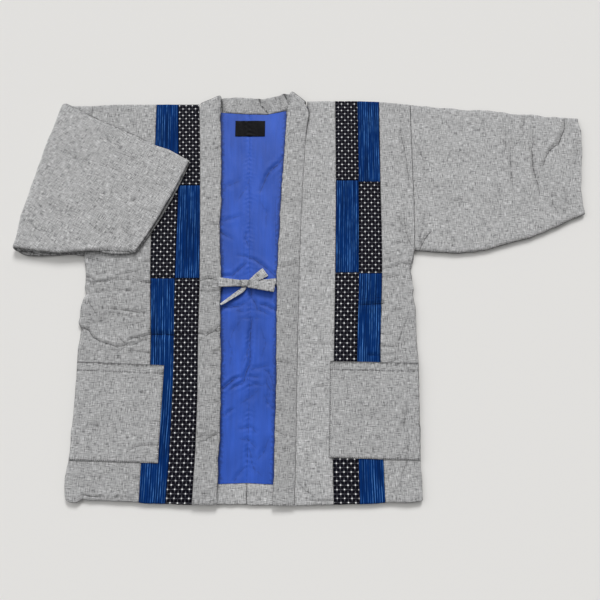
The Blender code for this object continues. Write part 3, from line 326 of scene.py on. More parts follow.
LINING_CREASES = (
    (5, (-43, 277, 0.8), (-57, 259, 1.7), (-70, 247, 2), (-78, 234, 1.8), (-84, 218, 1.4),
     (-91, 200, 0.8)),
    (4, (-59, 259, 0.6), (-71, 245, 1.2), (-77, 236, 0.6)),
    (7, (-171, 202, 0.4), (-155, 213, 0.9), (-136, 222, 0.3)),
    (8, (-135, 184, 0.4), (-121, 207, 0.7), (-115, 225, 0.3)),
    (5, (-169, 132, 0.5), (-153, 138, 1), (-135, 144, 0.4)),
    (5, (-170, 108, 1), (-158, 100, 0.9), (-148, 95, 0.4)),
    (3.8, (-119, 107, 0.9), (-120, 94, 1.2), (-115, 81, 0.8)),
    (4, (-133, 59, 0.4), (-116, 56, 1.1), (-110, 53, 1.4), (-100, 49, 1.5), (-88, 40, 1.6),
     (-75, 30, 1.4), (-61, 17, 0.9)),
    (4, (-146, 15, 1), (-134, 26, 1.6), (-124, 36, 1.4), (-117, 44, 0.5)),
    (4, (-168, 15, 1.3), (-152, 16, 1.4), (-138, 13, 0.8)),
    (4.5, (-60, 182, 0.3), (-60, 135, 0.9), (-58, 100, 0.9), (-60, 45, 0.5)),
    (6, (-88, 171, 0.3), (-79, 153, 0.6), (-79, 127, 0.3)),
    (5, (-166, -48, 0.9), (-148, -49, 1.6), (-132, -48, 1.4), (-120, -42, 0.7)),
    (5, (-146, -54, 0.4), (-126, -58, 0.8)),
    (4.4, (-107, -12, 1.3), (-105, -29, 1.6), (-97, -43, 1.4), (-94, -53, 1.1), (-86, -57, 1.1),
     (-76, -62, 0.5)),
    (4.4, (-86, -44, 1.1), (-77, -46, 1.6), (-65, -52, 1.4), (-57, -56, 0.9)),
    (4, (-124, -72, 0.3), (-106, -72, 0.9), (-92, -72, 0.3)),
    (5, (-104, -76, 1.1), (-106, -100, 1.6), (-108, -126, 2.1), (-113, -144, 1.4),
     (-118, -158, 0.4)),
    (8, (-129, -80, 0.3), (-139, -96, 0.8), (-144, -112, 0.3)),
    (3.8, (-106, -138, 1.7), (-106, -156, 1.8), (-108, -167, 2), (-113, -179, 2.3),
     (-115, -187, 2.3), (-117, -197, 1.8), (-123, -202, 2.2), (-132, -206, 1.8), (-142, -212, 0.6)),
    (3.6, (-156, -210, 2.4), (-146, -201, 2.5), (-138, -194, 2.3), (-131, -190, 1.8),
     (-121, -188, 0.8)),
    (4.2, (-117, -188, 0.9), (-106, -188, 1.1), (-90, -189, 0.6)),
    (5, (-75, -167, 0.5), (-90, -171, 0.9), (-104, -174, 0.5)),
    (4.2, (-80, -172, 0.4), (-69, -181, 1.1), (-63, -195, 1.1), (-60, -208, 0.5)),
    (4.2, (-75, -189, 0.4), (-73, -202, 1.1), (-67, -212, 1.1), (-67, -227, 0.4)),
    (4.2, (-75, -227, 0.5), (-70, -239, 1.1), (-61, -248, 0.6)),
    (4.4, (-105, -205, 0.6), (-94, -203, 1), (-80, -206, 0.3)),
    (7, (-92, -216, 0.4), (-101, -225, 0.8), (-118, -237, 0.5)),
    (3.6, (-151, -261, 0.8), (-144, -255, 1.2), (-137, -250, 0.5)),
    (4.4, (-121, -287, 0.6), (-108, -285, 1), (-102, -284, 1), (-94, -292, 0.7)),
    (4.4, (-118, -307, 0.5), (-107, -308, 1.1), (-101, -314, 1.2), (-94, -321, 0.6)),
    (7, (-103, -329, 0.8), (-99, -349, 1), (-95, -360, 1), (-85, -369, 0.4)),
    (4.4, (-115, -361, 0.6), (-124, -372, 1), (-131, -383, 0.6)),
    (6, (-69, -308, 0.4), (-77, -330, 0.8), (-88, -343, 0.4)),
    (8, (-150, -116, 0.3), (-142, -140, 0.6), (-145, -163, 0.3)),
    (8, (-84, -96, 0.3), (-77, -122, 0.6), (-83, -148, 0.3)),
)
FLAP_CREASES = (
    (4.5, (-420, 255, 0.3), (-403, 247, 0.8), (-388, 240, 0.8), (-377, 234, 0.3)),
    (4.5, (-391, 282, 0.3), (-367, 272, 0.9), (-352, 262, 0.5)),
    (5, (-320, 212, 0.3), (-297, 206, 0.8), (-283, 203, 0.3)),
    (6, (-338, 157, 0.3), (-315, 149, 0.8), (-294, 143, 0.3)),
    (3.6, (-421, 177, 0.4), (-406, 170, 1.1), (-396, 181, 0.3)),
    (3.4, (-355, 169, 0.6), (-349, 175, 1), (-343, 173, 0.4)),
    (3.4, (-442, 59, 1.6), (-426, 62, 2.4), (-406, 65, 2.8), (-386, 65, 2.8), (-366, 64, 2.6),
     (-350, 62, 2.2), (-340, 59, 1.8)),
    (8, (-526, 166, 0.3), (-498, 151, 0.7), (-467, 147, 0.3)),
    (8, (-498, 286, 0.3), (-475, 267, 0.7), (-450, 263, 0.3)),
    (7, (-421, 325, 0.3), (-407, 306, 0.7), (-388, 295, 0.3)),
    (7, (-370, 118, 0.3), (-359, 103, 0.8), (-342, 95, 0.4)),
    (6, (-557, 125, 0.3), (-543, 112, 0.7), (-522, 105, 0.3)),
    (7, (-435, 121, 0.3), (-413, 105, 0.6), (-389, 103, 0.3)),
)
POCKET_CREASES = (
    (3.4, (-329, -328, 0.5), (-316, -321, 1.1), (-305, -318, 1.2), (-290, -318, 1),
     (-273, -317, 0.8)),
    (3.2, (-295, -274, 0.4), (-275, -274, 0.9)),
    (5, (-415, -288, 0.3), (-400, -281, 0.6), (-381, -284, 0.3)),
    (5, (195, -241, 0.5), (192, -262, 1.2), (188, -279, 1.2), (189, -292, 0.3)),
    (5, (196, -307, 0.5), (193, -327, 1.1), (191, -342, 0.4)),
    (3.6, (116, -264, 0.5), (135, -260, 0.6)),
    (3.2, (93, -180, 0.4), (103, -180, 0.8)),
)
# Troughs below the folded sleeve: painted shadow in its fold's mouth and along the flap's edge
MOUTH_CREASES = (
    (9, (-576, 68, 3), (-562, 66, 4), (-547, 64, 3), (-535, 63, 1.4)),
    (3.6, (-547, 65, 2.6), (-525, 63, 2.2), (-499, 62, 2), (-474, 62, 1.8), (-450, 63, 1.8)),
)

# The neck's share of the collar: where it folds beside the neck and its free edge between
RIGHT_COLLAR_FOLD = (Vector((-0.2214, 0.3966, 0.0)), Vector((-0.1797, 0.4160, 0.0)))
LEFT_COLLAR_FOLD = (Vector((0.0012, 0.4008, 0.0)), Vector((-0.0300, 0.4268, 0.0)))
COLLAR_TURN_FROM = 0.382
NECK_SEAM_ENDS = (-0.1975, -0.0225)
NECK_FREE_EDGE = (
    (-0.1730, 0.4172), (-0.1560, 0.4186), (-0.1210, 0.4190), (-0.1010, 0.4178), (-0.0930, 0.4150),
    (-0.0860, 0.4150), (-0.0780, 0.4192), (-0.0670, 0.4200), (-0.0580, 0.4228), (-0.0440, 0.4280),
)

# Sections of the sleeves, from armhole to cuff: x and y on the shoulder fold, then on the underarm
LEFT_SLEEVE = (
    (0.2278, 0.3995, 0.2235, 0.0695), (0.2710, 0.3975, 0.2620, 0.0645),
    (0.3225, 0.3915, 0.3135, 0.0625), (0.3740, 0.3885, 0.3650, 0.0670),
    (0.4254, 0.3842, 0.4153, 0.0820), (0.4765, 0.3782, 0.4650, 0.1000),
    (0.5275, 0.3722, 0.5160, 0.1195), (0.5700, 0.3702, 0.5550, 0.1386),
    (0.5859, 0.3698, 0.5778, 0.1494),
)
RIGHT_SLEEVE_UNDER = (
    (-0.4556, 0.3972, -0.4468, 0.0570), (-0.4750, 0.3980, -0.4900, 0.0585),
    (-0.4950, 0.3983, -0.5350, 0.0600), (-0.5129, 0.3984, -0.5811, 0.0715),
)
RIGHT_SLEEVE_OVER = (
    (-0.5129, 0.3984, -0.5811, 0.0715), (-0.4823, 0.3838, -0.5400, 0.0655),
    (-0.4467, 0.3648, -0.4950, 0.0605), (-0.4124, 0.3487, -0.4560, 0.0630),
    (-0.3579, 0.3238, -0.4100, 0.0655), (-0.3148, 0.3001, -0.3800, 0.0642),
    (-0.2830, 0.2890, -0.3600, 0.0635), (-0.2403, 0.2637, -0.3403, 0.0625),
)

# Stretches of the tied band: the weave's turn, and the width and length each would lie flat
TIES = table(
    "node turn wide long",
    ("tie_right_stand", 88, 0.013, 0.036), ("tie_left_stand", 88, 0.013, 0.053),
    ("tie_upper_tail", 50, 0.013, 0.050), ("tie_lower_tail", -55, 0.011, 0.064),
    ("tie_right_loop", 90, 0.013, 0.105), ("tie_left_loop", 83, 0.015, 0.120),
    ("tie_knot", 20, 0.0, 0.0),
)

# The way each sun's light comes from, the width of its disc in degrees and its share of the key
LIGHTS = table(
    "name way softness share",
    ("key", (0.15, 1.0, 0.85), 22.0, 1.0), ("side", (-0.9, 0.35, 1.0), 60.0, 0.53),
)


def length(name, description, default):
    """A property in metres."""
    return FloatProperty(name=name, description=description, default=default, unit="LENGTH")


def colour(name, default):
    """A colour property."""
    return FloatVectorProperty(name=name, description=f"Colour of the {name.lower()}",
                               subtype="COLOR", size=3, min=0.0, max=1.0, default=default)


class HantenSizes(bpy.types.PropertyGroup):
    """Sizes of the cloth that a user would change."""

    cell: length("Grid cell", "Size of a panel's grid cells", 0.003)
    hidden_cell: length("Hidden grid cell", "Size of the grid cells on the underside", 0.008)
    sleeve_cell: length("Sleeve grid cell", "Size of a sleeve's grid cells", 0.004)
    crease: FloatProperty(name="Crease depth", description="Share of each crease's own depth",
                          default=1.1, subtype="FACTOR")
    pucker: length("Edge pucker", "How far a sewn edge wanders in and out", 0.0011)
    seam_deep: length("Seam depth", "How far the padding draws down at a seam", 0.0012)
    seam_wide: length("Seam width", "Width of the slope beside a seam", 0.0050)
    edge_round: length("Edge rounding", "Width of the round at a folded edge", 0.0050)
    roll: length("Unevenness", "Height of the padding's slow unevenness", 0.0005)
    sleeve_puff: length("Sleeve puff", "How far a sleeve's upper layer rises", 0.0022)
    stitch: length("Stitch length", "Length of one stitch", 0.0029)
    stitch_step: length("Stitch spacing", "From one stitch to the next", 0.0036)


class HantenColours(bpy.types.PropertyGroup):
    """Colours of the cloths and the floor."""

    grey: colour("Grey cloth", (0.468, 0.468, 0.470))
    grey_dark: colour("Grey cloth's dark yarns", (0.13, 0.132, 0.14))
    stripe: colour("Striped cloth", (0.0, 0.025, 0.142))
    stripe_light: colour("Striped cloth's pale yarns", (0.075, 0.240, 0.610))
    kasuri: colour("Kasuri cloth", (0.0025, 0.0025, 0.006))
    kasuri_arm: colour("Kasuri cloth's grey marks", (0.115, 0.115, 0.135))
    kasuri_dot: colour("Kasuri cloth's white marks", (0.95, 0.95, 0.95))
    lining: colour("Lining", (0.026, 0.094, 0.490))
    label: colour("Neck label", (0.004, 0.004, 0.005))
    thread: colour("Sewing thread", (0.035, 0.035, 0.04))
    floor: colour("Floor", (0.80, 0.79, 0.77))


class HantenStage(bpy.types.PropertyGroup):
    """The camera and the light."""

    distance: length("Camera distance", "From the camera to its target", 1.37)
    tilt: FloatProperty(name="Camera tilt", description="Turn away from straight down",
                        default=math.radians(15.0), subtype="ANGLE")
    lens: FloatProperty(name="Lens", description="Focal length", default=41.1, unit="CAMERA")
    key: FloatProperty(name="Key light", description="Strength of the main light", default=1.95,
                       subtype="UNSIGNED")
    fill: FloatProperty(name="Fill light", description="Strength of the even light", default=0.30,
                        subtype="UNSIGNED")


# Heights and unevenness

Relief = namedtuple("Relief", "height fold")


def moved(moves, at):
    """How far a table of moves shifts the cloth at these places, or shares of the way."""
    return 0.001 * np.interp(1000.0 * at, *np.transpose(moves))


def waves(x, y, size, seed, count=7):
    """Smooth random unevenness, mostly between -1 and 1, with about this wavelength."""
    source = np.random.default_rng(seed)
    total = np.zeros(np.broadcast(x, y).shape)
    for _ in range(count):
        turn, phase = source.uniform(0.0, 2.0 * math.pi, 2)
        run = x * math.cos(turn) + y * math.sin(turn)
        total = total + np.sin(2.0 * math.pi * run / (size * source.uniform(0.7, 1.5)) + phase)
    return total / math.sqrt(2.0 * count)


def unevenness(x, y, slow, fine):
    """A surface's slow and its fine unevenness together."""
    return slow[0] * waves(x, y, *slow[1:]) + fine[0] * waves(x, y, *fine[1:])


def soft_step(value, low, high):
    """0 below low, 1 above high and smooth between."""
    share = np.clip((value - low) / (high - low), 0.0, 1.0)
    return share * share * (3.0 - 2.0 * share)


def beside(distance, reach):
    """1 on a line and less beside it, with almost nothing left at twice this reach."""
    return np.exp(-(distance / reach) ** 2)


def bulge(share):
    """1 in the middle of the shares from 0 to 1, and 0 at both ends."""
    return np.clip(np.sin(math.pi * share), 0.0, 1.0)


def creased(rows, x, y):
    """The relief of the creases: the height they add, and for the shade, where their bottoms are.

    A crease is a trough with a soft lip on each side. fold holds the signed distance in millimetres
    from the crease that shows most at each point, and how strongly it shows.
    """
    trough, lip = np.zeros(x.shape), np.zeros(x.shape)
    offset, strength = np.full(x.shape, 9.0), np.zeros(x.shape)
    for wide, *path in rows:
        for (x0, y0, deep0), (x1, y1, deep1) in zip(path, path[1:]):
            run_x, run_y = x1 - x0, y1 - y0
            ahead, above = 1000.0 * x - x0, 1000.0 * y - y0
            share = (ahead * run_x + above * run_y) / (run_x ** 2 + run_y ** 2)
            share = np.clip(share, 0.0, 1.0)
            off_x, off_y = ahead - share * run_x, above - share * run_y
            off, deep = np.hypot(off_x, off_y), deep0 + (deep1 - deep0) * share
            trough = np.maximum(trough, deep * beside(off, wide))
            lip = np.maximum(lip, LIP_HIGH * deep * beside(off / wide - CREASE_LIP, LIP_WIDE))
            shows = np.minimum(1.0, deep / FULL_CREASE) ** 0.75
            shows = shows * (1.0 - soft_step(off, wide, wide + 4.0))
            side = np.where(run_x * off_y > run_y * off_x, 1.0, -1.0)
            offset = np.where(shows > strength, side * off * NARROW_CREASE / wide, offset)
            strength = np.maximum(strength, shows)
    deepness = 0.001 * bpy.context.scene.hanten_sizes.crease
    return Relief(deepness * (lip - trough), np.column_stack([offset, strength, 0.0 * x]))


def rounding(distance, thick):
    """How far a face draws in at this distance from a folded edge."""
    wide = bpy.context.scene.hanten_sizes.edge_round
    inwards = 1.0 - np.clip(distance / wide, 0.0, 1.0)
    return thick * (1.0 - np.sqrt(1.0 - 0.97 * inwards * inwards))


def seam_dip(distance):
    """How far the padding draws down at this distance from a seam."""
    sizes = bpy.context.scene.hanten_sizes
    share = np.clip(distance / sizes.seam_wide, 0.0, 1.0)
    return sizes.seam_deep * (1.0 - share) ** 2 * (1.0 + 0.8 * share)


def stations(whole, cell, before, after):
    """Shares of a length: the lines beside its two ends, and about a cell apart between."""
    count = max(1, round((whole - before[-1] - after[-1]) / cell))
    middle = np.linspace(before[-1], whole - after[-1], count + 1)
    places = [*before[:-1], *middle, *(whole - line for line in reversed(after[:-1]))]
    return np.array(places) / whole


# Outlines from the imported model

Sides = namedtuple("Sides", "left right bottom top")
CORNER_REACH = 0.3
UPRIGHT = 0.3  # a face that leans more than this share towards +Z or -Z isn't a side


def plan_sides(node):
    """A panel's four sides in plan, from its upright faces: x at y on two, y at x on two."""
    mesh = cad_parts[node].data
    low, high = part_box(node)
    reach = (high - low) * CORNER_REACH
    found = Sides(set(), set(), set(), set())
    for face in mesh.polygons:
        if abs(face.normal.z) > UPRIGHT:
            continue
        axis = 0 if abs(face.normal.x) > abs(face.normal.y) else 1
        at_high = face.normal[axis] > 0.0
        for vertex in face.vertices:
            point = mesh.vertices[vertex].co
            inwards = high[axis] - point[axis] if at_high else point[axis] - low[axis]
            if inwards < reach[axis]:
                along, across = round(point[1 - axis], 6), round(point[axis], 6)
                found[2 * axis + at_high].add((along, across))
    return Sides(*(np.array(sorted(points)).T for points in found))


def plan_grid(sides, column, row):
    """x and y of a panel's grid points, each at its shares between both pairs of sides."""
    x = np.full(column.shape, sides.bottom[0].mean())
    y = np.full(column.shape, sides.left[0].mean())
    for _ in range(8):
        first, last = np.interp(y, *sides.left), np.interp(y, *sides.right)
        x = first + (last - first) * column
        first, last = np.interp(x, *sides.bottom), np.interp(x, *sides.top)
        y = first + (last - first) * row
    return x, y


def from_sides(sides, x, y):
    """How far in from each of a panel's sides."""
    return Sides(x - np.interp(y, *sides.left), np.interp(y, *sides.right) - x,
                 y - np.interp(x, *sides.bottom), np.interp(x, *sides.top) - y)


PANEL_SIDES = {row.node: plan_sides(row.node) for row in PANELS}
RIGHT_EDGE = PANEL_SIDES["right_front_side"].left
LEFT_EDGE = PANEL_SIDES["left_front_side"].right
HEM = np.hstack([PANEL_SIDES[row.node].bottom for row in PANELS
                 if "front" in row.node and not row.node.endswith(("_1", "_2"))])
HEM = HEM[:, np.argsort(HEM[0])]

# The left front's cross seams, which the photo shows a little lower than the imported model
for upper_patch, lower_patch, lower_by in (
        ("left_front_outer_1", "left_front_outer_2", 0.0034),
        ("left_front_outer_2", "left_front_outer_3", 0.0066),
        ("left_front_inner_2", "left_front_inner_3", 0.0052)):
    PANEL_SIDES[upper_patch].bottom[1] -= lower_by
    PANEL_SIDES[lower_patch].top[1] -= lower_by


def from_right_edge(x, y):
    """How far in from the body's right side edge."""
    return x - np.interp(y, *RIGHT_EDGE)


def from_left_edge(x, y):
    """How far in from the body's left side edge."""
    return np.interp(y, *LEFT_EDGE) - x


def collar_front(on_right):
    """A front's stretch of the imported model's collar: y, its seam's x and its free edge's x."""
    levels = {}
    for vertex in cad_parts["collar"].data.vertices:
        x, y, z = vertex.co
        in_front = y < COLLAR_TURN_FROM + GAP and z > LINING_TOP
        if in_front and (x < COLLAR_MIDDLE) == on_right:
            levels.setdefault(round(y, 5), []).append(x)
    rows = [(y, min(xs), max(xs)) for y, xs in sorted(levels.items()) if len(xs) > 8]
    return [(y, a, b) if on_right else (y, b, a) for y, a, b in rows]


RIGHT_COLLAR, LEFT_COLLAR = collar_front(True), collar_front(False)


def from_collar(x, y):
    """How far a place on the lining is from the collar's nearer free edge."""
    (level, _, right), (other, _, left) = np.transpose(RIGHT_COLLAR), np.transpose(LEFT_COLLAR)
    nearer = np.minimum(x - np.interp(y, level, right), np.interp(y, other, left) - x)
    return np.maximum(0.0, nearer)


def faint_seam(y):
    """How much fainter than other seams the left collar's is, from the neck down."""
    return 3.0 - 2.0 * soft_step(y, 0.29, 0.36)


def edge_ripple(x, y):
    """Puckers near the side edges and hem: how far they move the cloth sideways, along and up."""
    fine = FINE_PUCKER * bpy.context.scene.hanten_sizes.pucker
    below = 1.0 - soft_step(y, UNDERARM - 0.030, UNDERARM - 0.008)
    right = below * beside(from_right_edge(x, y), SIDE_REACH)
    left = below * beside(from_left_edge(x, y), SIDE_REACH)
    at_hem = beside(y - np.interp(x, *HEM), HEM_REACH)
    along_right = fine * waves(0.0 * y, y, 0.011, 11, 4) + moved(RIGHT_EDGE_MOVES, y)
    along_left = fine * waves(0.0 * y, y, 0.011, 13, 4) + moved(LEFT_EDGE_MOVES, y)
    along_hem = fine * waves(x, 0.0 * x, 0.012, 15, 4) + moved(HEM_MOVES, x)
    rise = 0.35 * (left * along_left - right * along_right - at_hem * along_hem)
    return right * along_right + left * along_left, at_hem * along_hem, rise


def front_height(x, y):
    """The fronts' upper face and its creases, without their seams and edges."""
    roll = bpy.context.scene.hanten_sizes.roll
    slow, fine = waves(x, y, 0.075, 21) - 0.5, 0.30 * waves(x, y, 0.022, 22)
    relief = creased(BODY_CREASES, x, y)
    return Relief(FRONT_TOP + roll * (slow + fine) + relief.height, relief.fold)


def lining_height(x, y):
    """The lining's upper face, its creases and the puckers along its middle seam."""
    slow = 0.00045 * waves(x, y, 0.050, 31) + 0.00018 * waves(x, y * 0.4, 0.012, 32)
    from_seam = x - np.interp(y, *PANEL_SIDES["lining_right"].right)
    puckers = waves(x, y + 0.5 * np.abs(from_seam), 0.011, 33) * beside(from_seam, 0.010)
    relief = creased(LINING_CREASES, x, y)
    return Relief(LINING_TOP - GAP + slow + 0.00055 * puckers + relief.height, relief.fold)


# Making meshes

def finish_piece(name, bm, cloth, replaces):
    """Turns the faces outwards, and makes an object that rides on the model for its nodes."""
    bmesh.ops.recalc_face_normals(bm, faces=bm.faces)
    if bm.calc_volume(signed=True) < 0.0:
        bmesh.ops.reverse_faces(bm, faces=bm.faces)
    mesh = bpy.data.meshes.new(name)
    bm.to_mesh(mesh)
    bm.free()
    mesh.shade_smooth()
    mesh.set_sharp_from_angle(angle=math.radians(62))
    mesh.materials.append(cloth_material(cloth))
    piece = bpy.data.objects.new(name, mesh)
    bpy.context.scene.collection.objects.link(piece)
    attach(piece, "root")
    if replaces:
        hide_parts(*replaces)
    return piece


def two_layers(node, columns, rows, place, cloth, tube=False):
    """A flat grid given a second layer, each point of which is then moved to its place.

    place takes arrays of the shares across and along and of which layer each point is on. It
    returns the points, for the weave their places on the flat cut with the distance to an edge, and
    the creases' shade. A tube's first and last columns are the same line. fold's third part says
    how much painted shade darkens the piece's lower part.
    """
    bm = bmesh.new()
    bmesh.ops.create_grid(bm, x_segments=len(columns) - 1, y_segments=len(rows) - 1, size=1.0)
    second = bmesh.ops.extrude_face_region(bm, geom=bm.faces[:], use_keep_orig=True)["geom"]
    second = [element for element in second if isinstance(element, bmesh.types.BMVert)]
    bmesh.ops.translate(bm, verts=second, vec=UP)
    if tube:
        seam = [f for f in bm.faces if all(abs(abs(v.co.x) - 1.0) < 1e-6 for v in f.verts)]
        bmesh.ops.delete(bm, geom=seam, context="FACES")
    at = np.array([v.co for v in bm.verts])
    column = columns[np.rint((at[:, 0] + 1.0) / 2.0 * (len(columns) - 1)).astype(int)]
    row = rows[np.rint((at[:, 1] + 1.0) / 2.0 * (len(rows) - 1)).astype(int)]
    points, cut, fold = place(column, row, at[:, 2] > 0.5)
    above = soft_step(points[:, 1], 0.0, DARKER_UP_TO)
    fold[:, 2] = DARKER.get(node, 0.0) * (1.0 - (1.0 - DARKER_ABOVE) * above)
    cut_layer, fold_layer = (bm.verts.layers.float_vector.new(kind) for kind in ("cut", "fold"))
    for vertex, point, flat, crease in zip(bm.verts, points, cut, fold):
        vertex.co = point
        vertex[cut_layer], vertex[fold_layer] = flat, crease
    if tube:
        bmesh.ops.remove_doubles(bm, verts=bm.verts, dist=1e-6)
    return finish_piece("cloth_" + node, bm, cloth, [node])


def on_cut(across, along, nearest, turn, seed):
    """Places on the flat cut, turned and moved so that no two pieces show the same weave."""
    angle = math.radians(turn)
    shift = np.random.default_rng(seed).uniform(0.0, 3.0, 2)
    return np.column_stack([
        across * math.cos(angle) - along * math.sin(angle) + shift[0],
        across * math.sin(angle) + along * math.cos(angle) + shift[1], nearest])


def make_panel(row):
    """One panel, with its padding drawn down at its seams and round at its folded edges."""
    sizes = bpy.context.scene.hanten_sizes
    sides = PANEL_SIDES[row.node]
    low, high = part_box(row.node)
    hidden = row.node.startswith("back")
    cell = sizes.hidden_cell if hidden else sizes.cell
    columns = stations(high.x - low.x, cell, EDGE_LINES[row.left], EDGE_LINES[row.right])
    rows = stations(high.y - low.y, 0.7 * cell, EDGE_LINES[row.bottom], EDGE_LINES[row.top])
    thick = high.z - low.z

    def place(column, share, upper):
        x, y = plan_grid(sides, column, share)
        edges = from_sides(sides, x, y)
        fainter = Sides(faint_seam(y) if row.node == "left_front_edge" else 1.0, 1.0, 1.0, 1.0)
        nearest = np.minimum.reduce([away * faint for away, faint in zip(edges, fainter)])
        sunk, drawn = np.zeros(x.shape), np.zeros(x.shape)
        for side, distance, faint in zip(Sides._fields, edges, fainter):
            kind = getattr(row, side)
            if kind == "seam" and not hidden:
                sunk = np.maximum(sunk, seam_dip(distance) / faint ** 2)
            if kind == "fold":
                if side in ("left", "right"):
                    distance = distance + 4.0 * np.maximum(0.0, y - UNDERARM)
                round_off = ROUND_HEM if side == "bottom" else ROUND_SIDE
                drawn = np.maximum(drawn, rounding(distance, round_off * thick))
        aside, lengthways, rise = edge_ripple(x, y)
        under = np.full(x.shape, low.z)
        relief = creased((), x, y)
        if hidden:
            top, under = np.full(x.shape, high.z), low.z + drawn
        elif row.cloth == "lining":
            relief = lining_height(x, y)
            top = relief.height - 0.6 * sunk
            # Fainter seam shade here, and painted shade along the collar's free edges
            nearest = np.minimum(nearest + 0.0005, 0.17 * from_collar(x, y))
            meets = np.exp(-edges.right / 0.003) - np.exp(-edges.left / 0.003)
            aside = aside + 0.9 * GAP * meets
        elif "facing" in row.node:
            top = high.z - 0.2 * sunk - 0.4 * drawn
        else:
            relief = front_height(x, y)
            rise = rise * (1.0 - soft_step(drawn, 0.0, thick))
            top = relief.height + rise - np.maximum(sunk, drawn)
            under = low.z + np.where(nearest == edges.bottom, drawn, 0.0)
        points = np.column_stack([x + aside, y + lengthways, np.where(upper, top, under)])
        across = x - 0.5 * (np.interp(y, *sides.left) + np.interp(y, *sides.right))
        cut = on_cut(across, y, nearest, row.turn, sum(map(ord, row.node)))
        return points, cut, relief.fold

    two_layers(row.node, columns, rows, place, row.cloth)


def pocket_layers(sides, on_right, x, y):
    """A pocket's underside and top here, how near an edge or line of stitches is, and the folds."""
    edges = from_sides(sides, x, y)
    outer = from_right_edge(x, y) if on_right else from_left_edge(x, y)
    sewn = np.minimum(edges.right if on_right else edges.left, edges.bottom)
    hem_line = np.abs(edges.top - POCKET_HEM)
    rise = edge_ripple(x, y)[2]
    base = front_height(x, y).height + rise + GAP - rounding(outer, FRONT_ROUND)
    relief = creased(POCKET_CREASES, x, y)
    top = base + POCKET_THICK + relief.height + 0.00030 * waves(x, y, 0.045, 41)
    top = top - 0.0010 * (1.0 - soft_step(sewn, 0.0, 0.004))
    top = top - 0.0006 * (1.0 - soft_step(edges.top, 0.0, 0.002))
    top = top - 0.0007 * beside(hem_line, 0.0016)
    # Painted shade at the sewn edges and the line of stitches, and wider at the opening
    nearest = np.minimum.reduce([*edges[:3], 0.22 * edges.top, 0.5 * hem_line + 0.0003])
    return base, top, nearest, relief.fold


def make_pocket(node):
    """A patch pocket that follows the front it lies on, and its lines of stitches."""
    cell = bpy.context.scene.hanten_sizes.cell
    sides = plan_sides(node)
    low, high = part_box(node)
    wide, tall = high.x - low.x, high.y - low.y
    on_right = node.endswith("right")
    before, after = (FOLD_LINES, SEAM_LINES) if on_right else (SEAM_LINES, FOLD_LINES)
    columns = stations(wide, cell, before, after)
    rows = stations(tall, 0.7 * cell, SEAM_LINES, SEAM_LINES)

    def place(column, share, upper):
        x, y = plan_grid(sides, column, share)
        base, top, nearest, fold = pocket_layers(sides, on_right, x, y)
        aside, lengthways, _ = edge_ripple(x, y)
        points = np.column_stack([x + aside, y + lengthways, np.where(upper, top, base)])
        return points, on_cut(x, y, nearest, 0, 3 if on_right else 4), fold

    two_layers(node, columns, rows, place, "grey")

    def line(across, along):
        column, share = np.broadcast_arrays(np.asarray(across, float), np.asarray(along, float))
        x, y = plan_grid(sides, column, share)
        top = pocket_layers(sides, on_right, x, y)[1]
        return np.column_stack([x, y, top + 0.0001])

    inset, run = STITCH_INSET / wide, np.linspace(0.02, 0.98, 90)
    make_stitches("stitches_" + node, [
        line(run, 1.0 - POCKET_HEM / tall), line(run, inset),
        line(1.0 - inset if on_right else inset, run),
    ])


def make_label():
    """The plain woven label sewn below the neck."""
    sides = plan_sides("neck_label")
    low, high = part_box("neck_label")
    columns = stations(high.x - low.x, 0.002, SEAM_LINES, SEAM_LINES)
    rows = stations(high.y - low.y, 0.002, SEAM_LINES, SEAM_LINES)

    def place(column, share, upper):
        x, y = plan_grid(sides, column, share)
        nearest = np.minimum.reduce([x - low.x, high.x - x, y - low.y, high.y - y])
        relief = lining_height(x, y)
        base = relief.height + GAP
        top = base + LABEL_THICK * (1.0 - 0.5 * (1.0 - soft_step(nearest, 0.0, 0.001)))
        points = np.column_stack([x, y, np.where(upper, top, base)])
        return points, np.column_stack([x, y, nearest]), relief.fold

    piece = two_layers("neck_label", columns, rows, place, "label")


# Bands and tubes, made through sections

Section = namedtuple("Section", "start end normal")
Band = namedtuple("Band", "starts ends normals run")
Wall = namedtuple("Wall", "points index share first to_fold to_cuff")


def flat_section(start, end, height, normal):
    """A section that lies flat."""
    return Section(start + UP * height, end + UP * height, normal)


def turned(start, end, height, radius, side, share):
    """A section part of the way round a fold, which begins on its upper side (1) or below (-1)."""
    across = (end - start).normalized()
    outward = Vector((-across.y, across.x, 0.0))
    angle = math.pi * share
    normal = UP * math.cos(angle) + outward * (side * math.sin(angle))
    centre = UP * height + normal * (side * radius)
    return Section(start + centre, end + centre, normal)


def backwards(section):
    """The same section with its ends changed over."""
    return Section(section.end, section.start, section.normal)


def between(first, last, share):
    """A section part of the way from one to the next."""
    return Section(*(a.lerp(b, share) for a, b in zip(first, last)))


def refined(sections, cell):
    """The sections with more between them, no two further apart than a cell."""
    found = [sections[0]]
    for first, last in zip(sections, sections[1:]):
        far = max((last.start - first.start).length, (last.end - first.end).length)
        count = max(1, round(far / cell))
        found += [between(first, last, k / count) for k in range(1, count + 1)]
    return found


def band_through(sections):
    """The sections' starts, ends and normals, with the length of the run up to each."""
    starts, ends, normals = np.array([[list(part) for part in s] for s in sections]).swapaxes(0, 1)
    steps = np.linalg.norm(np.diff((starts + ends) / 2, axis=0), axis=1)
    normals = normals / np.linalg.norm(normals, axis=1)[:, None]
    return Band(starts, ends, normals, np.concatenate([[0.0], np.cumsum(steps)]))


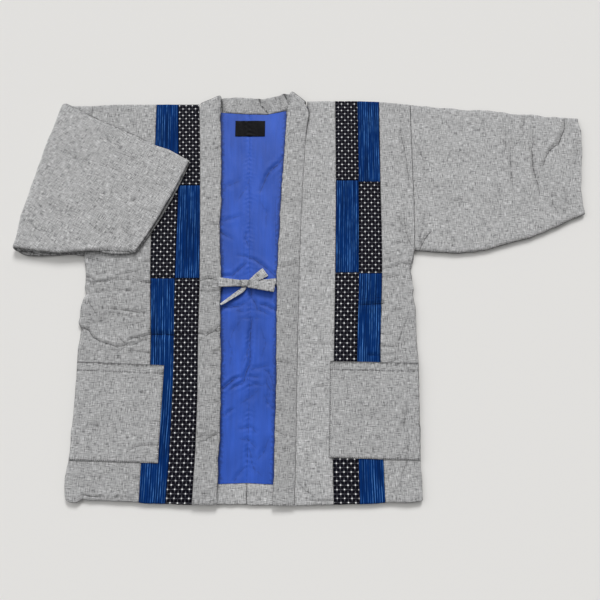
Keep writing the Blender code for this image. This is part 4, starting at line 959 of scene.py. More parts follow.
def collar_sections():
    """The collar from right hem round the neck to left hem, each from its seam to its free edge."""
    upper = LINING_TOP + GAP + COLLAR_THICK / 2
    lower = COLLAR_THICK / 2
    radius, middle = (upper - lower) / 2, (upper + lower) / 2
    right, left = [
        [flat_section(Vector((seam, y, 0.0)), Vector((free, y, 0.0)), upper, UP)
         for y, seam, free in side]
        for side in (RIGHT_COLLAR, LEFT_COLLAR)
    ]
    turns = [k / 12 for k in range(1, 12)]
    sections = [*right, flat_section(*RIGHT_COLLAR_FOLD, upper, UP)]
    sections += [turned(*RIGHT_COLLAR_FOLD, middle, radius, 1, share) for share in turns]
    sections.append(flat_section(*RIGHT_COLLAR_FOLD, lower, -UP))
    seam = np.hstack([PANEL_SIDES["lining_right"].top, PANEL_SIDES["lining_left"].top])
    free_x, free_y = np.transpose(NECK_FREE_EDGE)
    for share in np.linspace(0.0, 1.0, 15):
        seam_x = NECK_SEAM_ENDS[0] + (NECK_SEAM_ENDS[1] - NECK_SEAM_ENDS[0]) * share
        edge_x = free_x[0] + (free_x[-1] - free_x[0]) * share
        start = Vector((seam_x, np.interp(seam_x, *seam) + 3 * GAP, 0.0))
        end = Vector((edge_x, np.interp(edge_x, free_x, free_y), 0.0))
        sections.append(flat_section(start, end, lower, -UP))
    sections.append(flat_section(*LEFT_COLLAR_FOLD, lower, -UP))
    sections += [backwards(turned(*LEFT_COLLAR_FOLD[::-1], middle, radius, 1, share))
                 for share in reversed(turns)]
    return [*sections, flat_section(*LEFT_COLLAR_FOLD, upper, UP), *reversed(left)]


def make_collar():
    """The padded band on both front edges and round the neck, folded over beside the neck."""
    sizes = bpy.context.scene.hanten_sizes
    starts, ends, normals, run = band_through(refined(collar_sections(), sizes.cell))
    columns = stations(COLLAR_WIDE, sizes.cell, FOLD_LINES, FOLD_LINES)
    rows = run / run[-1]

    def place(column, row, upper):
        index = np.searchsorted(rows, row - 1e-9)
        normal, reach = normals[index], ends[index] - starts[index]
        middle = starts[index] + reach * column[:, None]
        x, y, _ = middle.T
        to_side = np.minimum(column, 1.0 - column)
        distance = to_side * COLLAR_WIDE
        end = np.minimum(row, 1.0 - row) * run[-1]
        fainter = np.where((column < 0.5) & (x > COLLAR_MIDDLE), faint_seam(y), 1.0)
        slope = ROUND_COLLAR * COLLAR_THICK * (1.0 - np.clip(2.0 * to_side, 0.0, 1.0)) ** 2
        drawn = rounding(distance, ROUND_COLLAR * COLLAR_THICK)
        drawn = drawn + (slope - drawn) * (fainter - 1.0) / 2.0
        half = COLLAR_THICK / 2 - drawn - rounding(end, ROUND_COLLAR_END * COLLAR_THICK)
        facing = np.where(upper, normal[:, 2], -normal[:, 2])
        relief = creased(COLLAR_CREASES, x, y)
        uneven = relief.height + unevenness(x, y, *COLLAR_UNEVEN)
        uneven = uneven * facing * soft_step(distance, 0.0, 0.003)
        half = half + np.where(facing > 0.3, uneven, 0.0)
        along = row * run[-1]
        wander = waves(along, 0.0 * row, 0.022, 53, 4) + waves(along, 0.0 * row, 0.050, 54, 4)
        free = soft_step(column, 0.5, 1.0) * soft_step(end, 0.0, 0.02)
        free = 0.7 * sizes.pucker * wander * free / COLLAR_WIDE
        points = middle + normal * np.where(upper, half, -half)[:, None] + reach * free[:, None]
        # Painted shade over the parts that turn round the folds beside the neck
        tucked = np.where(np.abs(normal[:, 2]) < 0.9, 0.0, FAR)
        nearest = np.minimum(fainter * distance, tucked)
        return points, on_cut(column * COLLAR_WIDE, along, nearest, 0, 5), relief.fold

    two_layers("collar", columns, rows, place, "grey")


def sleeve_sections(rows, height, normal):
    """Flat sections through a sleeve's rows."""
    return [flat_section(Vector((*row[:2], 0.0)), Vector((*row[2:], 0.0)), height, normal)
            for row in rows]


def cuff_rows(sections):
    """The sections with more just before the last, for the cuff's round edge."""
    before, last = sections[-2:]
    whole = (last.start - before.start).length
    lines = [max(0.1, 1.0 - line / whole) for line in (0.0019, 0.0011, 0.0005, 0.00015)]
    return [*sections[:-1], *(between(before, last, share) for share in lines), last]


def tube_columns(width, cell):
    """Shares round a flat tube: over its first layer from 0 to 1, and back on the second to 2."""
    over = stations(width, cell, FOLD_LINES, FOLD_LINES)
    return np.concatenate([over, 1.0 + over[1:]])


def on_tube(band, around, row, outer):
    """Places on a flat tube's wall, which thins to a round edge at the cuff.

    around goes from 0 to 1 over the first layer and back to 2 over the second. outer says which
    places are on the outside of the cloth.
    """
    index = np.searchsorted(band.run / band.run[-1], row - 1e-9)
    to_cuff = band.run[-1] - band.run[index]
    first = around <= 1.0
    share = np.where(first, around, 2.0 - around)
    start, across = band.starts[index], band.ends[index] - band.starts[index]
    width = np.linalg.norm(across, axis=1)
    inset = SLEEVE_WALL / width
    within = np.where(outer, share, inset + (1.0 - 2.0 * inset) * share)
    to_fold = np.minimum(share, 1.0 - share) * width
    radius, hollow = SLEEVE_DEEP / 2, SLEEVE_DEEP / 2 - SLEEVE_WALL
    outside = np.sqrt(radius ** 2 - np.maximum(0.0, radius - to_fold) ** 2)
    inside = hollow * np.sqrt(1.0 - np.maximum(0.0, 1.0 - to_fold / SLEEVE_WALL) ** 2)
    near_cuff = 1.0 - np.clip(to_cuff / (0.5 * SLEEVE_WALL), 0.0, 1.0)
    thin = 0.5 * (1.0 - np.sqrt(1.0 - 0.96 * near_cuff ** 2))
    half = np.where(outer, outside + (inside - outside) * thin, inside + (outside - inside) * thin)
    half = half * np.where(first, 1.0, -1.0)
    points = start + across * within[:, None] + band.normals[index] * half[:, None]
    return Wall(points, index, share, first, to_fold, to_cuff)


def make_left_sleeve():
    """The sleeve that is laid out: a flat tube from the armhole to the open cuff."""
    sizes = bpy.context.scene.hanten_sizes
    sections = refined(sleeve_sections(LEFT_SLEEVE, SLEEVE_DEEP / 2, UP), 0.6 * sizes.sleeve_cell)
    band = band_through(cuff_rows(sections))
    columns = tube_columns(SLEEVE_WIDE, sizes.sleeve_cell)

    def place(around, row, outer):
        points, index, share, first, to_fold, _ = on_tube(band, around, row, outer)
        x, y, _ = points.T.copy()
        from_armhole = row * band.run[-1]
        # The upper layer is uneven and stands up in the middle, and draws down at the armhole
        relief = creased(SLEEVE_CREASES, x, y)
        uneven = relief.height + unevenness(x, y, *LEFT_SLEEVE_UNEVEN)
        rise = sizes.sleeve_puff * np.sqrt(bulge(share) * bulge(row))
        rise = rise + uneven * soft_step(to_fold, 0.0, 0.010)
        rise = rise - 0.0014 * (1.0 - soft_step(from_armhole, 0.0, 0.006)) * outer
        points[:, 2] += np.where(first, rise, 0.0)
        # The cuff wanders, with the lower layer a little behind, and both long edges pucker
        ragged = FINE_PUCKER * sizes.pucker * waves(x, y, 0.024, 63)
        ragged = ragged + np.where(first, 0.0, -0.0022)
        points[:, 0] += row ** 6 * moved(LEFT_CUFF_MOVES, share)
        points[:, 0] += soft_step(row, 0.90, 1.0) * ragged
        for across, moves in (
                (share, LEFT_SLEEVE_TOP_MOVES), (1.0 - share, LEFT_SLEEVE_UNDER_MOVES)):
            points[:, 1] += beside(across * SLEEVE_WIDE, HEM_REACH) * moved(moves, x)
        armhole = np.interp(points[:, 1], *LEFT_EDGE) + GAP
        points[:, 0] = np.where(index == 0, armhole, points[:, 0])
        cut = on_cut(x, y, np.minimum(from_armhole, to_fold), 4, 6)
        return points, cut, relief.fold * first[:, None]

    piece = two_layers("sleeve_left", columns, band.run / band.run[-1], place, "grey", tube=True)


def make_right_sleeve():
    """The sleeve that is folded forward: a flat tube that turns over and lies back on the front."""
    sizes = bpy.context.scene.hanten_sizes
    low, high = SLEEVE_DEEP / 2, SLEEVE_DEEP + GAP + SLEEVE_DEEP / 2
    radius, middle = (high - low) / 2, (high + low) / 2
    lying = refined(sleeve_sections(RIGHT_SLEEVE_UNDER, low, UP), 2 * sizes.sleeve_cell)
    fold_ends = [Vector((end.x, end.y, 0.0)) for end in (lying[-1].end, lying[-1].start)]
    turn = [backwards(turned(*fold_ends, middle, radius, -1, k / 10)) for k in range(1, 10)]
    over = refined(sleeve_sections(RIGHT_SLEEVE_OVER, high, -UP), 0.8 * sizes.sleeve_cell)
    band = band_through(lying + turn + cuff_rows(over))
    run, last_lying, first_over = band.run, len(lying) - 1, len(lying) + len(turn)
    over_run = run[-1] - run[first_over]
    columns = tube_columns(FLAP_WIDE, sizes.sleeve_cell)

    def place(around, row, outer):
        points, index, share, first, to_fold, to_cuff = on_tube(band, around, row, outer)
        flat_x, flat_y, _ = points.T.copy()
        is_over = index >= first_over
        top, below = ~first & is_over, first & ~is_over
        reach = np.clip((run[index] - run[first_over]) / over_run, 0.0, 1.0)
        near_fold = np.clip(1.0 - np.abs(run[index] - run[first_over]) / over_run, 0.0, 1.0)
        # The fold and the cuff wander, and the cuff's lower layer shows past its upper one
        across = band.ends[index] - band.starts[index]
        across = across / np.linalg.norm(across, axis=1)[:, None]
        sideways = np.column_stack([-across[:, 1], across[:, 0], 0.0 * share])
        bow = reach ** 3 * moved(RIGHT_CUFF_MOVES, share)
        bow = bow + near_fold ** 2 * moved(RIGHT_FOLD_MOVES, share)
        ragged = FINE_PUCKER * sizes.pucker * waves(share * 0.25, 0.0 * share, 0.020, 73, 4)
        ragged = ragged * soft_step(reach, 0.93, 1.0)
        second_edge = np.where(first, CUFF_STEP, 0.0) * soft_step(reach, 0.90, 1.0)
        second_edge = second_edge * np.sqrt(bulge(share))
        points += sideways * (bow + ragged + second_edge)[:, None]
        # The part on the floor puckers at its underarm, and the flap has a lip there
        under_fold = beside((1.0 - share) * SLEEVE_WIDE, 0.020)
        under_fold = under_fold * (1.0 - soft_step(index, last_lying, first_over))
        points[:, 1] += under_fold * moved(RIGHT_SLEEVE_UNDER_MOVES, points[:, 0])
        lip = moved(FLAP_LIP_MOVES, points[:, 0]) * is_over
        lip = lip * beside((1.0 - share) * FLAP_WIDE, 0.006)
        points[:, 1] += lip
        x, y = points[:, 0], points[:, 1]
        # The flap is uneven and stands up in the middle, and what lies below it has two troughs, with
        # painted shade for the shadow in the fold's mouth and along the flap's lower edge
        flap, mouth = creased(FLAP_CREASES, x, y), creased(MOUTH_CREASES, x, y)
        uneven = flap.height + unevenness(x, y, *RIGHT_SLEEVE_UNEVEN)
        soft = soft_step(to_fold, 0.0, 0.004)
        rise = sizes.sleeve_puff * np.sqrt(bulge(share) * bulge(reach))
        rise = rise + uneven * soft * soft_step(reach, 0.0, 0.05)
        rise = rise + 0.0014 * soft_step(reach, 0.90, 1.0) * bulge(share) + 0.5 * lip
        points[:, 2] += np.where(top, rise, 0.0) + np.where(below, mouth.height * soft, 0.0)
        points[:, 0] = np.where(index == 0, np.interp(y, *RIGHT_EDGE) - GAP, x)
        # Shade: a line along the strip that shows at the cuff, and wider ones along these folds
        strip_edge = np.minimum(0.5 * to_cuff + 0.0005, 0.5 * np.abs(CUFF_STEP - to_cuff))
        on_strip = first & (to_cuff < 2 * CUFF_STEP)
        edge = np.where(on_strip, np.minimum(to_fold, strip_edge), to_fold)
        edge = np.where((share < 0.5) & is_over & (reach < 0.72), 0.22 * to_fold, edge)
        edge = np.where(below & (share > 0.5), 0.0003 + 0.20 * to_fold, edge)
        fold_line = flap.fold * top[:, None] + mouth.fold * below[:, None]
        return points, on_cut(flat_x, flat_y, edge, 28, 7), fold_line

    piece = two_layers("sleeve_right", columns, run / run[-1], place, "grey", tube=True)


def smoother(node):
    """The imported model's form of a piece, subdivided until it is smooth."""
    bm = bmesh.new()
    bm.from_mesh(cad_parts[node].data)
    bmesh.ops.remove_doubles(bm, verts=bm.verts, dist=1e-6)
    bmesh.ops.join_triangles(bm, faces=bm.faces, angle_face_threshold=math.radians(40),
                             angle_shape_threshold=math.radians(60))
    rough = bpy.data.meshes.new(node + "_form")
    bm.to_mesh(rough)
    bm.free()
    form = bpy.data.objects.new(node + "_form", rough)
    bpy.context.scene.collection.objects.link(form)
    divided = form.modifiers.new("divided", "SUBSURF")
    divided.levels = divided.render_levels = 3 if node == "tie_knot" else 2
    fine = bmesh.new()
    fine.from_object(form, bpy.context.evaluated_depsgraph_get())
    bpy.data.objects.remove(form)
    fine.normal_update()
    return fine


def make_tie(row):
    """A stretch of the tied band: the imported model's own form, made smooth and a little uneven."""
    bm = smoother(row.node)
    at, facing = (np.array([getattr(v, part) for v in bm.verts]) for part in ("co", "normal"))
    x, y, _ = at.T
    uneven = unevenness(x, y, *TIE_UNEVEN)
    if row.node == "tie_knot":
        # Two grooves go slantwise over the knot
        centre = at.mean(axis=0)
        slant = (x - centre[0]) * 0.35 + (y - centre[1])
        uneven = uneven - 0.0007 * beside(np.abs(slant) - 0.0021, 0.0007)
    at = at + facing * uneven[:, None]

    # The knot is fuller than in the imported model. The other stretches' ends are drawn in to it, and
    # a loop's end is spread as well
    towards = np.array(sum(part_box("tie_knot"), Vector()) / 2) - at
    away = np.hypot(towards[:, 0], towards[:, 1])
    if row.node == "tie_knot":
        at[:, :2] -= towards[:, :2] * (0.22, 0.16)
    else:
        if "loop" in row.node:
            towards[:, 1] *= -0.4
        towards[:, 2] = 0.0
        pull = TIE_PULL * (1.0 - soft_step(away, 0.010, 0.026)) / np.maximum(away, 0.004)
        at += towards * pull[:, None]
    # Painted shade in a ring round the knot's middle, where the stretches go into it
    nearest = 0.0002 + 0.16 * np.abs(away - 0.011)
    cut = on_cut(at[:, 0], at[:, 1], nearest, row.turn, sum(map(ord, row.node)))
    layer = bm.verts.layers.float_vector.new("cut")
    for vertex, point, flat in zip(bm.verts, at, cut):
        vertex.co, vertex[layer] = point, flat
    return finish_piece("cloth_" + row.node, bm, "grey", [row.node])


def make_stitches(name, lines):
    """Running stitches along these lines of places, as one joined piece."""
    sizes = bpy.context.scene.hanten_sizes
    size = Matrix.Diagonal((sizes.stitch / 2, *STITCH_HALF, 1.0))
    bm = bmesh.new()
    for line in lines:
        run = np.linalg.norm(np.diff(line, axis=0), axis=1)
        run = np.concatenate([[0.0], np.cumsum(run)])
        for k in range(int(run[-1] / sizes.stitch_step)):
            start, end = (
                np.array([np.interp(k * sizes.stitch_step + ahead, run, part) for part in line.T])
                for ahead in (0.0, sizes.stitch))
            turn = Vector(end - start).normalized().to_track_quat("X", "Z").to_matrix().to_4x4()
            bmesh.ops.create_uvsphere(bm, u_segments=6, v_segments=4, radius=1.0,
                                      matrix=Matrix.Translation((start + end) / 2) @ turn @ size)
    layer = bm.verts.layers.float_vector.new("cut")
    for vertex in bm.verts:
        vertex[layer] = vertex.co
    return finish_piece(name, bm, "thread", [])


# Materials

class Net:
    """Adds nodes to one material or group, and joins their sockets."""

    def __init__(self, tree):
        self.tree = tree

    def put(self, socket, value):
        """Sets a socket to a number or colour, or joins it to another socket."""
        if isinstance(value, bpy.types.NodeSocket):
            self.tree.links.new(value, socket)
        elif value is not None:
            socket.default_value = value

    def node(self, kind, inputs=None, **settings):
        """A node with these settings, and its inputs by name or number."""
        made = self.tree.nodes.new(kind)
        for name, value in settings.items():
            setattr(made, name, value)
        for name, value in (inputs or {}).items():
            self.put(made.inputs[name], value)
        return made

    def math(self, operation, first, second=None, third=None):
        """A sum or other operation on numbers."""
        inputs = {0: first, 1: second, 2: third}
        return self.node("ShaderNodeMath", inputs, operation=operation).outputs[0]

    def times(self, first, *others):
        """A product of numbers."""
        for other in others:
            first = self.math("MULTIPLY", first, other)
        return first

    def less(self, first, second):
        """One number less another."""
        return self.math("SUBTRACT", first, second)

    def most(self, first, second):
        """The greater of two numbers."""
        return self.math("MAXIMUM", first, second)

    def vector(self, operation, first, second):
        """An operation on two vectors."""
        inputs = {0: first, 1: second}
        return self.node("ShaderNodeVectorMath", inputs, operation=operation).outputs[0]

    def flat(self, cut):
        """A place on the cut, without the distance to an edge."""
        return self.vector("MULTIPLY", cut, (1.0, 1.0, 0.0))

    def parts(self, vector):
        """A vector's three parts."""
        return self.node("ShaderNodeSeparateXYZ", {0: vector}).outputs

    def noise(self, vector, scale, detail=1.0, output="Fac"):
        """Smooth noise from 0 to 1, of one scale or of one across and one along."""
        if isinstance(scale, tuple):
            vector, scale = self.vector("MULTIPLY", vector, (*scale, 1.0)), 1.0
        inputs = {"Vector": vector, "Scale": scale, "Detail": detail}
        return self.node("ShaderNodeTexNoise", inputs).outputs[output]

    def ease(self, value, low, high, first=0.0, last=1.0):
        """Goes smoothly from first to last as the value goes from low to high."""
        inputs = {"Value": value, "From Min": low, "From Max": high, "To Min": first,
                  "To Max": last}
        made = self.node("ShaderNodeMapRange", inputs, interpolation_type="SMOOTHSTEP")
        return made.outputs[0]

    def mix(self, share, first, last):
        """A blend of two colours."""
        inputs = {0: share}
        for place, shade in ((6, first), (7, last)):
            painted = isinstance(shade, bpy.types.NodeSocket)
            inputs[place] = shade if painted else (*shade, 1.0)
        return self.node("ShaderNodeMix", inputs, data_type="RGBA").outputs[2]

    def shaded(self, painted, value):
        """A colour, multiplied by a number."""
        inputs = {0: painted, "Scale": value}
        return self.node("ShaderNodeVectorMath", inputs, operation="SCALE").outputs[0]

    def grouped(self, name, **inputs):
        """The outputs of a node of a group, which is made once."""
        group = bpy.data.node_groups.get(name) or new_group(name)
        return self.node("ShaderNodeGroup", inputs, node_tree=group).outputs

    def weave(self, cut, pitch):
        """The height of a plain weave."""
        return self.grouped("Plain weave", Cut=cut, Pitch=pitch)["Height"]


def plain_weave(net, ins):
    """Plain weave: fine yarns both ways, a little uneven. It gives its height."""
    pitch = net.math("DIVIDE", 2.0 * math.pi, ins["Pitch"])
    phase = net.times(net.noise(net.flat(ins["Cut"]), 180.0), 5.0)
    across, along, _ = net.parts(ins["Cut"])
    warp = net.math("SINE", net.math("MULTIPLY_ADD", across, pitch, phase))
    weft = net.math("SINE", net.math("MULTIPLY_ADD", along, pitch, phase))
    return {"Height": net.math("MULTIPLY_ADD", net.times(warp, weft), 0.5, 0.5)}


def slub_yarns(net, ins):
    """Slub yarns both ways: where they are dark flecks, and how pale the cloth is."""
    flat = net.flat(ins["Cut"])
    warp, weft = net.noise(flat, (660.0, 80.0)), net.noise(flat, (84.0, 640.0))
    patch = net.ease(net.noise(flat, 70.0), 0.35, 0.65, 0.75, 1.25)
    cloud = net.ease(net.noise(flat, 26.0), 0.25, 0.75, 1.04, 0.95)
    yarns = net.less(net.math("ADD", warp, weft), 1.0)
    level = net.math("MULTIPLY_ADD", net.times(yarns, patch), -1.55, 1.0)
    dark = net.most(net.ease(warp, 0.64, 0.74), net.ease(weft, 0.65, 0.75))
    dark = net.most(dark, net.ease(net.noise(flat, (420.0, 380.0)), 0.63, 0.71))
    return {"Dark": dark, "Level": net.times(level, cloud)}


def seam_and_crease(net, ins):
    """Shade in the valleys of seams and creases. It gives a factor.

    Cut's third part is the distance to a seam or edge. Fold's parts are the signed distance to a
    crease in millimetres, how strongly that shows, and how much painted shade darkens the piece's
    lower part.
    """
    distance = net.parts(ins["Cut"])[2]
    offset, strength, darker = net.parts(ins["Fold"])
    offset = net.math("ABSOLUTE", offset)
    broken = net.noise(net.flat(ins["Cut"]), 160.0, 2.0)
    wide = net.ease(broken, 0.3, 0.7, 0.0006, 0.0020)
    near = net.less(1.0, net.math("DIVIDE", distance, wide))
    seam = net.ease(near, 0.0, 1.0, 1.0, ins["Deepest"])
    wide = net.ease(broken, 0.3, 0.7, 0.8, 1.8)
    near = net.less(1.0, net.math("DIVIDE", offset, wide))
    lost = net.times(net.ease(near, 0.0, 1.0), strength, net.less(1.0, ins["Deepest"]))
    aside = net.times(net.ease(offset, 8.0, 0.5, 0.0, 0.16), strength)
    left = [net.less(1.0, part) for part in (lost, aside, darker)]
    return {"Shade": net.times(seam, *left)}


def kasuri_marks(net, ins):
    """One lattice of kasuri marks: a squarish white dot at each repeat, and its grey lines."""
    aside, above = (
        net.times(net.math("ABSOLUTE", net.less(net.math("FRACT", part), 0.5)), 1000.0 * repeat)
        for part, repeat in zip(net.parts(ins["Place"]), KASURI_REPEAT))
    blot = net.math("ADD", net.math("POWER", aside, 3.0), net.math("POWER", above, 3.0))
    upright = net.times(net.ease(aside, 1.10, 0.50), net.ease(above, 6.0, 2.0, 0.25, 1.0))
    level = net.times(net.ease(above, 1.10, 0.50), net.ease(aside, 6.0, 2.0, 0.45, 1.0))
    return {"Dot": net.ease(blot, 3.2, 1.2), "Arms": net.most(upright, level)}


GROUPS = {
    "Plain weave": (plain_weave, {"Cut": "Vector", "Pitch": "Float"}, {"Height": "Float"}),
    "Slub yarns": (slub_yarns, {"Cut": "Vector"}, {"Dark": "Float", "Level": "Float"}),
    "Seam and crease shade": (
        seam_and_crease, {"Cut": "Vector", "Fold": "Vector", "Deepest": "Float"},
        {"Shade": "Float"}),
    "Kasuri marks": (kasuri_marks, {"Place": "Vector"}, {"Dot": "Float", "Arms": "Float"}),
}


def new_group(name):
    """Makes one of the node groups."""
    build, inputs, outputs = GROUPS[name]
    group = bpy.data.node_groups.new(name, "ShaderNodeTree")
    for sockets, way in ((inputs, "INPUT"), (outputs, "OUTPUT")):
        for socket, kind in sockets.items():
            group.interface.new_socket(socket, in_out=way, socket_type="NodeSocket" + kind)
    net = Net(group)
    net.node("NodeGroupOutput", build(net, net.node("NodeGroupInput").outputs))
    return group


def grey_cloth(net, cut, tones):
    """Light grey slub cotton, crossed by finer and coarser yarns and flecked with dark ones."""
    slub, weave = net.grouped("Slub yarns", Cut=cut), net.weave(cut, 0.0009)
    level = net.times(slub["Level"], net.ease(weave, 0.0, 1.0, 0.94, 1.05))
    painted = net.shaded(tones.grey, level)
    painted = net.mix(net.times(slub["Dark"], 0.60), painted, tones.grey_dark)
    return painted, net.math("MULTIPLY_ADD", slub["Level"], 0.8, weave), 0.00035


def stripe_cloth(net, cut, tones):
    """Dark blue cotton with fine broken paler lines along it, some strong and some faint."""
    flat = net.flat(cut)
    across, along, _ = net.parts(cut)
    wander = net.noise(flat, (14.0, 11.0))
    place = net.math("DIVIDE", net.math("MULTIPLY_ADD", wander, 0.0040, across), STRIPE_PITCH)
    off_line = net.math("ABSOLUTE", net.less(net.math("FRACT", place), 0.5))
    which = net.times(net.math("FLOOR", place), 5.37)
    line = net.node("ShaderNodeCombineXYZ", {0: which, 1: net.times(along, 13.0)}).outputs[0]
    strong = net.ease(net.noise(line, 1.0, 2.0), 0.38, 0.64, 0.05, 1.0)
    broken = net.ease(net.noise(flat, (300.0, 60.0)), 0.36, 0.60, 0.35, 1.0)
    pale = net.times(net.ease(off_line, 0.23, 0.05), strong, broken)
    dark = net.times(net.ease(net.noise(flat, (380.0, 6.0), 0.0), 0.52, 0.34), 0.35)
    cloud = net.ease(net.noise(flat, 26.0, 2.0), 0.25, 0.75, 0.92, 1.08)
    painted = net.mix(pale, tones.stripe, tones.stripe_light)
    height = net.math("MULTIPLY_ADD", pale, 0.4, net.weave(cut, 0.0008))
    return net.shaded(painted, net.times(cloud, net.less(1.0, dark))), height, 0.00030


def kasuri_cloth(net, cut, tones):
    """Near-black cotton with a lattice of grey lines, and small white marks where they cross."""
    flat = net.flat(cut)
    wander = net.vector("MULTIPLY", net.noise(flat, 90.0, output="Color"), (0.0013, 0.0013, 0.0))
    repeats = (1.0 / KASURI_REPEAT[0], 1.0 / KASURI_REPEAT[1], 0.0)
    place = net.vector("MULTIPLY", net.vector("ADD", flat, wander), repeats)
    first = net.grouped("Kasuri marks", Place=place)
    second = net.grouped("Kasuri marks", Place=net.vector("ADD", place, (0.5, 0.5, 0.0)))
    worn = net.ease(net.noise(flat, 210.0, 2.0), 0.34, 0.60, 0.35, 1.0)
    dots, arms = (net.most(first[name], second[name]) for name in ("Dot", "Arms"))
    dots, arms = net.times(dots, net.math("MULTIPLY_ADD", worn, 0.5, 0.5)), net.times(arms, worn)
    painted = net.mix(arms, tones.kasuri, tones.kasuri_arm)
    return net.mix(dots, painted, tones.kasuri_dot), net.weave(cut, 0.0008), 0.00030


def lining_cloth(net, cut, tones):
    """Blue taffeta with a soft sheen, and painted sheen in lighter and darker streaks along it."""
    flat = net.flat(cut)
    painted_sheen = net.ease(net.noise(flat, (160.0, 9.0), 2.0), 0.3, 0.7, 0.94, 1.06)
    cloud = net.ease(net.noise(flat, (22.0, 7.0), 2.0), 0.3, 0.7, 0.88, 1.12)
    return net.shaded(tones.lining, net.times(painted_sheen, cloud)), net.weave(cut, 0.0005), 0.00012


def label_cloth(net, cut, tones):
    """Black woven satin, with nothing on it."""
    weave = net.weave(cut, 0.0004)
    return net.shaded(tones.label, net.ease(weave, 0.0, 1.0, 0.7, 1.6)), weave, 0.00010


def thread_cloth(net, cut, tones):
    """Twisted sewing thread."""
    twist = net.noise(cut, 1500.0)
    return net.shaded(tones.thread, net.ease(twist, 0.3, 0.7, 0.7, 1.3)), twist, 0.00010


# Each cloth's material: what builds its colour, its height and the height's depth, its roughness,
# the share of its colour that painted shade leaves at the bottom of a seam or full crease, and its
# sheen and gloss
Cloth = namedtuple("Cloth", "name build roughness deepest sheen gloss")
CLOTHS = {
    "grey": Cloth("grey slub cotton", grey_cloth, 0.92, 0.26, 0.15, 0.15),
    "stripe": Cloth("striped cotton", stripe_cloth, 0.88, 0.30, 0.0, 0.08),
    "kasuri": Cloth("kasuri cotton", kasuri_cloth, 0.88, 0.5, 0.0, 0.08),
    "lining": Cloth("blue taffeta", lining_cloth, 0.48, 0.45, 0.02, 0.25),
    "label": Cloth("black satin", label_cloth, 0.45, 0.6, 0.0, 0.06),
    "thread": Cloth("sewing thread", thread_cloth, 0.8, 1.0, 0.0, 0.15),
}


def cloth_material(kind):
    """A cloth's material, which is made once."""
    cloth = CLOTHS[kind]
    if cloth.name in bpy.data.materials:
        return bpy.data.materials[cloth.name]
    material = bpy.data.materials.new(cloth.name)
    material.use_nodes = True
    net = Net(material.node_tree)
    shader = material.node_tree.nodes["Principled BSDF"]
    cut, fold = (
        net.node("ShaderNodeAttribute", attribute_name=name).outputs["Vector"]
        for name in ("cut", "fold"))
    shade = net.grouped("Seam and crease shade", Cut=cut, Fold=fold, Deepest=cloth.deepest)["Shade"]
    painted, height, depth = cloth.build(net, cut, bpy.context.scene.hanten_colours)
    bump = net.node("ShaderNodeBump", {"Height": height, "Distance": depth, "Strength": 0.6})
    for name, value in (
            ("Roughness", cloth.roughness), ("Specular IOR Level", cloth.gloss),
            ("Sheen Weight", cloth.sheen), ("Sheen Roughness", 0.5),
            ("Base Color", net.shaded(painted, shade)), ("Normal", bump.outputs[0])):
        net.put(shader.inputs[name], value)
    return material


# Operators

class HANTEN_OT_panels(bpy.types.Operator):
    """Makes the cut panels: the back, its lining and hem facing, and the pieced fronts"""
    bl_idname = "hanten.panels"
    bl_label = "Panels"

    def execute(self, context):
        for row in PANELS:
            make_panel(row)
        return {"FINISHED"}


class HANTEN_OT_pockets(bpy.types.Operator):
    """Makes the two patch pockets"""
    bl_idname = "hanten.pockets"
    bl_label = "Pockets"

    def execute(self, context):
        make_pocket("pocket_right")
        make_pocket("pocket_left")
        return {"FINISHED"}


class HANTEN_OT_label(bpy.types.Operator):
    """Makes the bare neck label"""
    bl_idname = "hanten.label"
    bl_label = "Neck label"

    def execute(self, context):
        make_label()
        return {"FINISHED"}


class HANTEN_OT_collar(bpy.types.Operator):
    """Makes the padded collar"""
    bl_idname = "hanten.collar"
    bl_label = "Collar"

    def execute(self, context):
        make_collar()
        return {"FINISHED"}


class HANTEN_OT_sleeves(bpy.types.Operator):
    """Makes the sleeve that is laid out and the one that is folded forward"""
    bl_idname = "hanten.sleeves"
    bl_label = "Sleeves"

    def execute(self, context):
        make_left_sleeve()
        make_right_sleeve()
        return {"FINISHED"}


class HANTEN_OT_ties(bpy.types.Operator):
    """Makes the two ties and the bow that they are tied in"""
    bl_idname = "hanten.ties"
    bl_label = "Ties"

    def execute(self, context):
        made = {row.node: make_tie(row) for row in TIES}
        return {"FINISHED"}


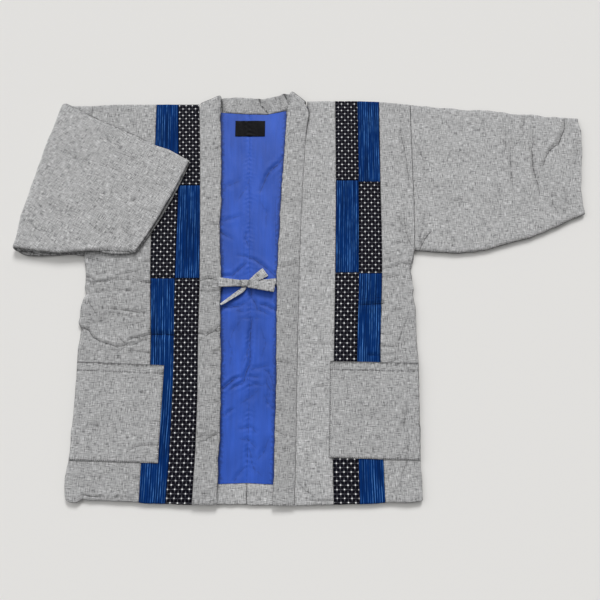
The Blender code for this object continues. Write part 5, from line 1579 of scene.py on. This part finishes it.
class HANTEN_OT_stage(bpy.types.Operator):
    """Makes the floor, the light and the camera"""
    bl_idname = "hanten.stage"
    bl_label = "Stage"

    def execute(self, context):
        scene, stage = context.scene, context.scene.hanten_stage
        bm = bmesh.new()
        bmesh.ops.create_grid(bm, x_segments=1, y_segments=1, size=FLOOR_HALF)
        floor_mesh = bpy.data.meshes.new("floor")
        bm.to_mesh(floor_mesh)
        bm.free()
        paint = bpy.data.materials.new("floor paint")
        paint.use_nodes = True
        shader = paint.node_tree.nodes["Principled BSDF"]
        shader.inputs["Base Color"].default_value = (*scene.hanten_colours.floor, 1.0)
        shader.inputs["Roughness"].default_value = 0.9
        floor_mesh.materials.append(paint)
        floor = bpy.data.objects.new("floor", floor_mesh)
        scene.collection.objects.link(floor)

        camera = bpy.data.objects.new("camera", bpy.data.cameras.new("camera"))
        scene.collection.objects.link(camera)
        way = Vector((0.0, -math.sin(stage.tilt), math.cos(stage.tilt)))
        camera.location = CAMERA_TARGET + stage.distance * way
        camera.rotation_euler = (stage.tilt, 0.0, 0.0)
        camera.data.lens = stage.lens
        camera.data.sensor_width = 36.0
        camera.data.clip_end = 30.0
        scene.camera = camera

        for row in LIGHTS:
            light = bpy.data.lights.new(row.name, "SUN")
            light.energy = row.share * stage.key
            light.angle = math.radians(row.softness)
            lamp = bpy.data.objects.new(row.name, light)
            scene.collection.objects.link(lamp)
            lamp.rotation_euler = Vector(row.way).to_track_quat("Z", "Y").to_euler()
        world = bpy.data.worlds.new("studio")
        world.use_nodes = True
        background = world.node_tree.nodes["Background"]
        background.inputs["Color"].default_value = (1.0, 1.0, 1.0, 1.0)
        background.inputs["Strength"].default_value = stage.fill
        scene.world = world
        scene.view_settings.view_transform = "Standard"
        return {"FINISHED"}


class HANTEN_PT_pieces(bpy.types.Panel):
    """Lists the steps that make the jacket"""
    bl_idname = "HANTEN_PT_pieces"
    bl_label = "Hanten"
    bl_space_type = "VIEW_3D"
    bl_region_type = "UI"
    bl_category = "Hanten"

    def draw(self, context):
        for group in SETTINGS:
            settings = getattr(context.scene, group)
            box = self.layout.box()
            for name in settings.__annotations__:
                box.prop(settings, name)
        for operator in OPERATORS:
            self.layout.operator(operator.bl_idname)


SETTINGS = {
    "hanten_sizes": HantenSizes, "hanten_colours": HantenColours, "hanten_stage": HantenStage,
}
OPERATORS = (
    HANTEN_OT_stage, HANTEN_OT_ties, HANTEN_OT_panels, HANTEN_OT_pockets, HANTEN_OT_label,
    HANTEN_OT_collar, HANTEN_OT_sleeves,
)
CLASSES = (*SETTINGS.values(), *OPERATORS, HANTEN_PT_pieces)


def register():
    """Adds the settings, the operators and the panel."""
    for cls in CLASSES:
        bpy.utils.register_class(cls)
    for name, settings in SETTINGS.items():
        setattr(bpy.types.Scene, name, PointerProperty(type=settings))


def unregister():
    """Takes them away again."""
    for name in SETTINGS:
        delattr(bpy.types.Scene, name)
    for cls in reversed(CLASSES):
        bpy.utils.unregister_class(cls)


def main():
    """Makes the stage and every piece."""
    register()
    bpy.ops.hanten.stage()
    bpy.ops.hanten.ties()
    bpy.ops.hanten.panels()
    bpy.ops.hanten.pockets()
    bpy.ops.hanten.label()
    bpy.ops.hanten.collar()
    bpy.ops.hanten.sleeves()


if __name__ == "__main__":
    main()
